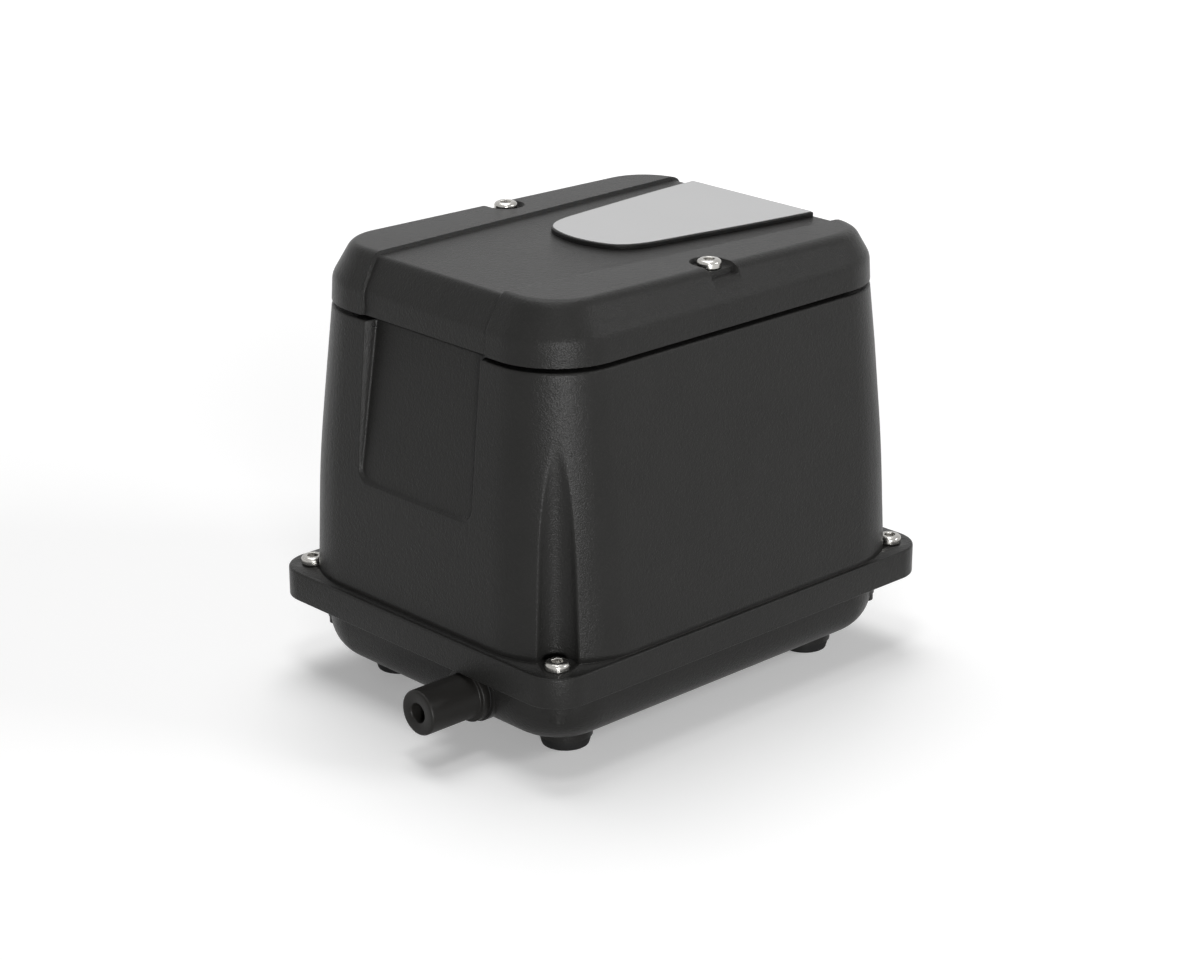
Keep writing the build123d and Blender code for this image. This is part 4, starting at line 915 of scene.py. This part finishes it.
        outer_sides, outer_top = sheet(0.0, s.band_depth, 0.0)
        inner_sides, inner_top = sheet(s.wall, 0.0, 1.2 * MM)
        surface = Surface()
        surface.grid(np.concatenate([outer_sides[::-1], inner_sides]))
        surface.grid(outer_top, wrap_u=False)
        surface.grid(inner_top, wrap_u=False)
        base = s.top_z + s.platform_rise - s.band_depth
        plate = self.label_rows(s, 0.0, s.top_z - 3 * MM, base, s.platform_edge, fall)
        surface.grid(plate, close_start=True, close_end=True)
        cover = surface.object("filter_cover_shell")
        close_up(cover)
        finish_piece(cover, LID, "casing_coat", "filter_cover")

        label = Surface()
        rows = self.label_rows(s, s.label_border, base, base + s.label_thickness, 0.1 * MM, fall)
        label.grid(rows, close_start=True, close_end=True)
        finish_piece(label.object("label_blank"), LID, "label_silver", "label_plate")
        return {"FINISHED"}

    def label_rows(self, s, border, low, high, edge, fall):
        """Rows of the label's outline, from its underside over its rounded edge to its middle.

        The outline is where the smooth maximum of its sides, bowed front and back edge is zero,
        found along rays from its middle; a row drawn in by an inset is where it is minus that.
        """
        slope = (s.label_back - s.label_front) / (s.label_back_x - s.label_front_x)
        radius = (s.label_front**2 + s.label_bow**2) / (2 * s.label_bow)
        bow_x = s.label_front_x - s.label_bow + radius
        middle = 40 * MM
        corner = np.arctan2(s.label_back, s.label_back_x - middle)
        close = [(side - 0.05, side + 0.05, 0.006) for side in (corner, -corner)]
        angles = spans((-np.pi, np.pi, 0.022), *close)[1:]
        ray = np.stack([np.cos(angles), np.sin(angles)], -1)

        def outline(inset):
            def field(reach):
                x, y = middle + ray[:, 0] * reach, np.abs(ray[:, 1]) * reach
                side = (y - s.label_front - slope * (x - s.label_front_x)) / np.hypot(1, slope)
                bow = np.hypot(np.minimum(x - bow_x, 0), y) - radius
                back = x - s.label_back_x
                front = soft_max(side, bow, s.label_corner)
                return -soft_max(front, back, 0.5 * MM) - border - inset

            reach = bisect(field, 0, 80 * MM, angles.shape)
            return np.stack([middle + ray[:, 0] * reach, ray[:, 1] * reach], -1)

        inside = 12 * MM
        steps = [(inside, low), (0, low), (0, high - edge * 1.5), *edge_arc(edge, high, 4)]
        steps += [(edge + 0.3 * MM, high), (inside, high)]
        rows = []
        for inset, z in steps:
            flat = outline(inset)
            rows.append(np.concatenate([flat, (z - fall * flat[:, 0])[:, None]], -1))
        return np.array(rows)


def close_up(piece):
    """Joins the edges of grids that meet, and turns the faces outwards."""
    work = bmesh.new()
    work.from_mesh(piece.data)
    bmesh.ops.remove_doubles(work, verts=work.verts, dist=0.002 * MM)
    bmesh.ops.recalc_face_normals(work, faces=work.faces)
    work.to_mesh(piece.data)
    work.free()
    piece.data.set_sharp_from_angle(angle=float(np.radians(38)))


# ------------------------------------------------------------------ fittings
def corners(x, y):
    """The four places at plus and minus x and y, on the floor."""
    return [(a * x, b * y, 0) for a in (-1, 1) for b in (-1, 1)]


def socket_screw(surface, s, x, y, low, high, turn=0.0):
    """A pan head with a hexagon socket, turned from a path of (radius, height, hexagon share)."""
    head, tall, shank = s.head_radius, s.head_height, s.shank_radius
    seat = high - tall
    quarter, dome = np.linspace(0, np.pi / 2, 9), 0.45 * tall
    depth, key, flat = high - s.socket_depth, s.socket_radius, 3.0 * MM
    path = [(shank - 0.5 * MM, low, 0), (shank, low + 0.5 * MM, 0), (shank, seat, 0)]
    path += [(head - 0.25 * MM, seat, 0), (head, seat + 0.25 * MM, 0), (head, seat + 0.6 * MM, 0)]
    path += [(flat + (head - flat) * np.cos(a), high - dome * (1 - np.sin(a)), 0) for a in quarter]
    path += [(key + 0.22 * MM, high, 0.6), (key + 0.05 * MM, high - 0.1 * MM, 1), (key, high - 0.3 * MM, 1)]
    path += [(key, depth + 0.1 * MM, 1), (key - 0.1 * MM, depth, 1), (key * 0.5, depth - 0.25 * MM, 1)]
    path = np.array(path)

    def ribs(angle, radius):
        wave = np.cos(np.pi / 6) / np.cos((angle + turn) % (np.pi / 3) - np.pi / 6)
        share = path[:, 2:]
        return radius * (1 - share + share * wave)

    points = lathe(path[:, :2], (x, y, 0), (0, 0, 1), 72, ribs)
    surface.grid(points, close_start=True, close_end=True)


class AIRPUMP_OT_make_screws(bpy.types.Operator):
    """Make the stainless screws of the casing and of the filter cover"""

    bl_idname = "air_pump.make_screws"
    bl_label = "Make Screws"

    def execute(self, context):
        s = context.scene.air_pump_fittings
        low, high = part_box("casing_screws")
        surface = Surface()
        for turn, (x, y, _) in enumerate(corners(high.x - s.head_radius, high.y - s.head_radius)):
            socket_screw(surface, s, x, y, low.z, high.z, turn * 0.37)
        finish_piece(surface.object("casing_pan_screws"), CASING, "stainless", "casing_screws")
        low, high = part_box("filter_cover_screws")
        surface = Surface()
        for turn, y in ((0.2, high.y - s.head_radius), (0.9, low.y + s.head_radius)):
            socket_screw(surface, s, 0, y, low.z, high.z, turn)
        finish_piece(surface.object("cover_pan_screws"), LID, "stainless", "filter_cover_screws")
        return {"FINISHED"}


class AIRPUMP_OT_make_feet(bpy.types.Operator):
    """Make the four rubber feet"""

    bl_idname = "air_pump.make_feet"
    bl_label = "Make Feet"

    def execute(self, context):
        s = context.scene.air_pump_fittings
        low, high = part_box("rubber_feet")
        radius, stem, tall = high.x - s.foot_x, s.foot_stem, s.foot_height
        tread = radius - s.foot_taper
        path = [(0, 0.3 * MM), (radius * 0.55, 0.3 * MM), (radius * 0.6, 0), (tread - 0.7 * MM, 0)]
        path += [(tread - 0.2 * MM, 0.2 * MM), (tread, 0.7 * MM), (radius, tall - 0.2 * MM)]
        path += [(radius - 0.1 * MM, tall), (stem, tall), (stem, high.z - 0.5 * MM)]
        path += [(stem - 0.5 * MM, high.z), (0, high.z)]
        places = corners(high.x - radius, high.y - radius)
        turned_piece("feet_set", path, places, (0, 0, 1), 72, "rubber_black", "rubber_feet")
        return {"FINISHED"}


class AIRPUMP_OT_make_outlet(bpy.types.Operator):
    """Make the outlet nozzle with its collar, and the seal ring behind it"""

    bl_idname = "air_pump.make_outlet"
    bl_label = "Make Outlet"

    def execute(self, context):
        s = context.scene.air_pump_fittings
        low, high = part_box("outlet_nozzle")
        ring_low, ring_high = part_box("nozzle_seal")
        middle = (ring_low + ring_high) / 2
        origin = (0, middle.y, middle.z)
        collar = (high.z - low.z) / 2
        end, face, back, inner = -low.x, -ring_low.x + s.collar, -ring_low.x, -high.x
        bore, radius, bend = s.nozzle_bore, s.nozzle_radius, s.nozzle_round
        quarter = np.linspace(0, np.pi / 2, 7)
        path = [(bore, inner), (bore, end - 0.8 * MM), (bore + 0.15 * MM, end - 0.3 * MM)]
        path += [(bore + 0.5 * MM, end), (radius - bend - 0.3 * MM, end)]
        path += [(radius - bend + bend * np.sin(a), end - bend + bend * np.cos(a)) for a in quarter]
        path += [(radius, end - bend - 0.5 * MM), (radius, face + 0.5 * MM)]
        path += [(radius + 0.15 * MM, face + 0.15 * MM), (radius + 0.5 * MM, face)]
        path += [(collar - 0.5 * MM, face), (collar - 0.15 * MM, face - 0.15 * MM)]
        path += [(collar, face - 0.5 * MM), (collar, back + 0.2 * MM), (collar - 0.2 * MM, back)]
        path += [(s.spigot_radius, back), (s.spigot_radius, inner)]
        turned_piece("outlet_spout", path, [origin], (-1, 0, 0), 96, "nozzle_black", "outlet_nozzle")
        outer, hole = (ring_high.z - ring_low.z) / 2, s.spigot_radius + 0.1 * MM
        thick = -ring_high.x
        path = [(hole, thick), (hole, back), (outer - 0.25 * MM, back), (outer, back - 0.25 * MM)]
        path += [(outer, thick + 0.25 * MM), (outer - 0.25 * MM, thick)]
        turned_piece("outlet_seal", path, [origin], (-1, 0, 0), 96, "rubber_black", "nozzle_seal")
        return {"FINISHED"}


# ------------------------------------------------------------------ soft pieces
class AIRPUMP_OT_make_filter(bpy.types.Operator):
    """Make the foam filter pad, with soft edges and a slightly uneven top"""

    bl_idname = "air_pump.make_filter"
    bl_label = "Make Filter Pad"

    def execute(self, context):
        low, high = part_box("filter_element")
        half_x, half_y, tall = high.x, high.y, high.z - low.z
        ring = plain_ring(10, 26)
        edge, clear = 1.6 * MM, 0.1 * MM
        steps = [(30 * MM, 0), (8 * MM, 0), (0.5 * MM, 0), (clear, 0.4 * MM), (0.5 * MM, tall / 2)]
        steps += [(clear + inset, z) for inset, z in edge_arc(edge, tall, 4)]
        steps += [(inset * MM, tall) for inset in (4, 8, 14, 20, 26, 32, 38, 44)]
        rows = []
        for inset, z in steps:
            corner = max(8 * MM - inset, 0.5 * MM)
            row = ring.at(half_x - inset, half_y - inset, corner, low.z + z)
            dip = np.sin(row[:, 0] * 70) * np.cos(row[:, 1] * 90 + row[:, 0] * 40) * 0.25 * MM
            row[:, 2] -= np.where(z > tall - edge, np.abs(dip) + clear, 0)
            rows.append(row)
        surface = Surface()
        surface.grid(np.array(rows), close_start=True, close_end=True)
        pad = finish_piece(surface.object("filter_pad"), CASING, "foam", "filter_element")
        return {"FINISHED"}


class AIRPUMP_OT_make_diaphragms(bpy.types.Operator):
    """Make the two rubber diaphragms, which join the casing to the armature"""

    bl_idname = "air_pump.make_diaphragms"
    bl_label = "Make Diaphragms"

    def execute(self, context):
        for name, way in (("left", -1), ("right", 1)):
            low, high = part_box(f"diaphragm_{name}")
            middle = (low + high) / 2
            radius = (high.z - low.z) / 2
            near = min(abs(low.x), abs(high.x))
            far = max(abs(low.x), abs(high.x))
            thick = 1.2 * MM
            share = np.linspace(0, 1, 40)
            rim, hub = 0.80, 0.42
            out = 1 - smooth_step((share - hub) / (rim - hub))
            wave = np.sin(np.clip((share - hub) / (rim - hub), 0, 1) * np.pi) * 1.2 * MM
            rise = near + (far - thick - near) * out - wave
            front = np.stack([share * radius, rise + thick], -1)[1:]
            back = np.stack([share * radius, rise], -1)[:0:-1]
            path = np.concatenate([[(0, rise[0] + thick)], front, back, [(0, rise[0])]])
            surface = Surface()
            turned(surface, path, (0, middle.y, middle.z), (way, 0, 0), 96)
            piece = surface.object(f"diaphragm_disc_{name}")
            finish_piece(piece, None, "valve_rubber", f"diaphragm_{name}")
            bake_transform(piece)
        return {"FINISHED"}


class AIRPUMP_OT_make_rubbers(bpy.types.Operator):
    """Make the rubber boots of the air ports and the rubber mounts of the drive"""

    bl_idname = "air_pump.make_rubbers"
    bl_label = "Make Boots and Mounts"

    def execute(self, context):
        s = context.scene.air_pump_fittings
        for name in ("left", "right"):
            low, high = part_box(f"air_boot_{name}")
            middle, widest = (low + high) / 2, (high.x - low.x) / 2
            swell, lip = 1.6 * MM, 0.35 * MM
            outer, bore = widest - swell, widest - 3.8 * MM
            rise = np.linspace(low.z + lip, high.z - lip, 25)
            bulge = np.cos(np.clip((rise - middle.z) / (4 * MM), -1, 1) * np.pi) * 0.5 + 0.5
            side = np.stack([outer + swell * bulge, rise], -1)
            path = [(bore, low.z), (outer - lip, low.z), *side, (outer - lip, high.z), (bore, high.z)]
            places = [(middle.x, middle.y, 0)]
            turned_piece(f"port_boot_{name}", path, places, (0, 0, 1), 72, "rubber_black", f"air_boot_{name}")
        low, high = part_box("isolation_mounts")
        radius, hole = s.mount_radius, s.mount_bore
        rise = np.linspace(0, 1, 15)
        tall = high.z - low.z - 2 * MM
        waist = np.stack([radius - 0.9 * MM * np.sin(rise * np.pi), low.z + 1 * MM + rise * tall], -1)
        path = [(hole, low.z), (radius - 1 * MM, low.z), (radius - 0.3 * MM, low.z + 0.3 * MM), *waist]
        path += [(radius - 0.3 * MM, high.z - 0.3 * MM), (radius - 1 * MM, high.z), (hole, high.z)]
        places = corners(high.x - radius, high.y - radius)
        turned_piece("drive_mounts", path, places, (0, 0, 1), 64, "rubber_black", "isolation_mounts")
        return {"FINISHED"}


# ------------------------------------------------------------------ remaining parts and stage
class AIRPUMP_OT_finish_parts(bpy.types.Operator):
    """Give every carried-over part of the frame its finish"""

    bl_idname = "air_pump.finish_parts"
    bl_label = "Finish Carried Parts"

    def execute(self, context):
        for node, slot in NODE_SLOTS.items():
            carried = bpy.data.objects[node]
            carried.data.materials.clear()
            carried.data.materials.append(material_of(slot))
        return {"FINISHED"}


def lamp(name, place, target, size, power):
    """A square area lamp at a place, turned to a target."""
    light = bpy.data.lights.new(name, "AREA")
    light.shape, light.size, light.energy = "SQUARE", size, power
    made = bpy.data.objects.new(name, light)
    made.location = place
    made.rotation_euler = (Vector(target) - made.location).to_track_quat("-Z", "Y").to_euler()
    bpy.context.scene.collection.objects.link(made)


# Each lamp's name, place, height of its aim over the part's middle, and width, in metres
LAMPS = (
    ("top", (0.20, 0.40, 1.6), 0.08, 1.0),
    ("crest", (-0.38, -0.33, 1.3), 0.18, 0.3),
    ("side", (1.0, -1.5, 1.05), 0.14, 0.6),
    ("front", (-0.98, -1.42, 0.19), 0.1, 0.3),
)


class AIRPUMP_OT_make_stage(bpy.types.Operator):
    """Make the camera, the soft lamps, the world and the pale floor"""

    bl_idname = "air_pump.make_stage"
    bl_label = "Make Stage"

    def execute(self, context):
        stage, scene = context.scene.air_pump_stage, context.scene
        aim = Vector((stage.aim_x, stage.aim_y, stage.aim_z))
        a, e = stage.azimuth, stage.elevation
        out = Vector((np.sin(a) * np.cos(e), -np.cos(a) * np.cos(e), np.sin(e)))
        lens = bpy.data.cameras.new("Camera")
        lens.lens, lens.sensor_width, lens.sensor_fit = stage.lens, 36.0, "HORIZONTAL"
        camera = bpy.data.objects.new("Camera", lens)
        camera.location = aim + out * stage.distance
        camera.rotation_euler = (-out).to_track_quat("-Z", "Y").to_euler()
        scene.collection.objects.link(camera)
        scene.camera = camera

        for name, place, aim_z, size in LAMPS:
            lamp(f"lamp_{name}", place, (0, 0, aim_z), size, getattr(stage, f"{name}_power"))

        scene.world = bpy.data.worlds.new("studio")
        world = Nodes(scene.world)
        ground = world.tree.nodes["Background"].inputs
        world.fill(ground["Color"], (1, 1, 1, 1))
        world.fill(ground["Strength"], world.seen_white() * (1 - stage.ambient) + stage.ambient)

        mesh = bpy.data.meshes.new("floor")
        mesh.from_pydata(corners(FLOOR_HALF, FLOOR_HALF), [], [(0, 2, 3, 1)])
        floor = bpy.data.objects.new("floor", mesh)
        scene.collection.objects.link(floor)
        finish = Finish("floor_paper")
        finish.set(Base_Color=(0.9, 0.9, 0.9), Roughness=0.95, Specular_IOR_Level=0.0)
        away = (finish.axis(0) ** 2 + finish.axis(1) ** 2) ** 0.5
        lift = finish.seen_white() * (stage.floor_lift + 0.6 * away.step(0.3, 1.3))
        finish.set(Emission_Color=finish.mix((0.0, 0.0, 0.0), (1.0, 1.0, 1.0), lift), Emission_Strength=1.0)
        mesh.materials.append(finish.material)
        scene.view_settings.view_transform = "Standard"
        return {"FINISHED"}


class AIRPUMP_PT_panel(bpy.types.Panel):
    """Lists the operators that build the air pump, with their settings"""

    bl_idname = "AIRPUMP_PT_panel"
    bl_label = "Air Pump"
    bl_space_type = "VIEW_3D"
    bl_region_type = "UI"
    bl_category = "Air Pump"

    def draw(self, context):
        for operator in OPERATORS:
            self.layout.operator(operator.bl_idname)
        for name, group in SETTINGS.items():
            box = self.layout.box()
            box.label(text=name.replace("_", " ").title())
            for field in group.__annotations__:
                box.prop(getattr(context.scene, name), field)


OPERATORS = (
    AIRPUMP_OT_make_casing,
    AIRPUMP_OT_make_cover,
    AIRPUMP_OT_make_screws,
    AIRPUMP_OT_make_feet,
    AIRPUMP_OT_make_outlet,
    AIRPUMP_OT_make_filter,
    AIRPUMP_OT_make_diaphragms,
    AIRPUMP_OT_make_rubbers,
    AIRPUMP_OT_finish_parts,
    AIRPUMP_OT_make_stage,
)
CLASSES = (*SETTINGS.values(), *OPERATORS, AIRPUMP_PT_panel)


def register():
    """Registers the add-on's classes and puts its settings on the scene."""
    for cls in CLASSES:
        bpy.utils.register_class(cls)
    for name, group in SETTINGS.items():
        setattr(bpy.types.Scene, name, PointerProperty(type=group))


def unregister():
    """Takes the settings and classes away again."""
    for name in SETTINGS:
        delattr(bpy.types.Scene, name)
    for cls in reversed(CLASSES):
        bpy.utils.unregister_class(cls)


def main():
    """Registers the add-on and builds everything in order."""
    register()
    for operator in OPERATORS:
        group, name = operator.bl_idname.split(".")
        getattr(getattr(bpy.ops, group), name)()


if __name__ == "__main__":
    main()
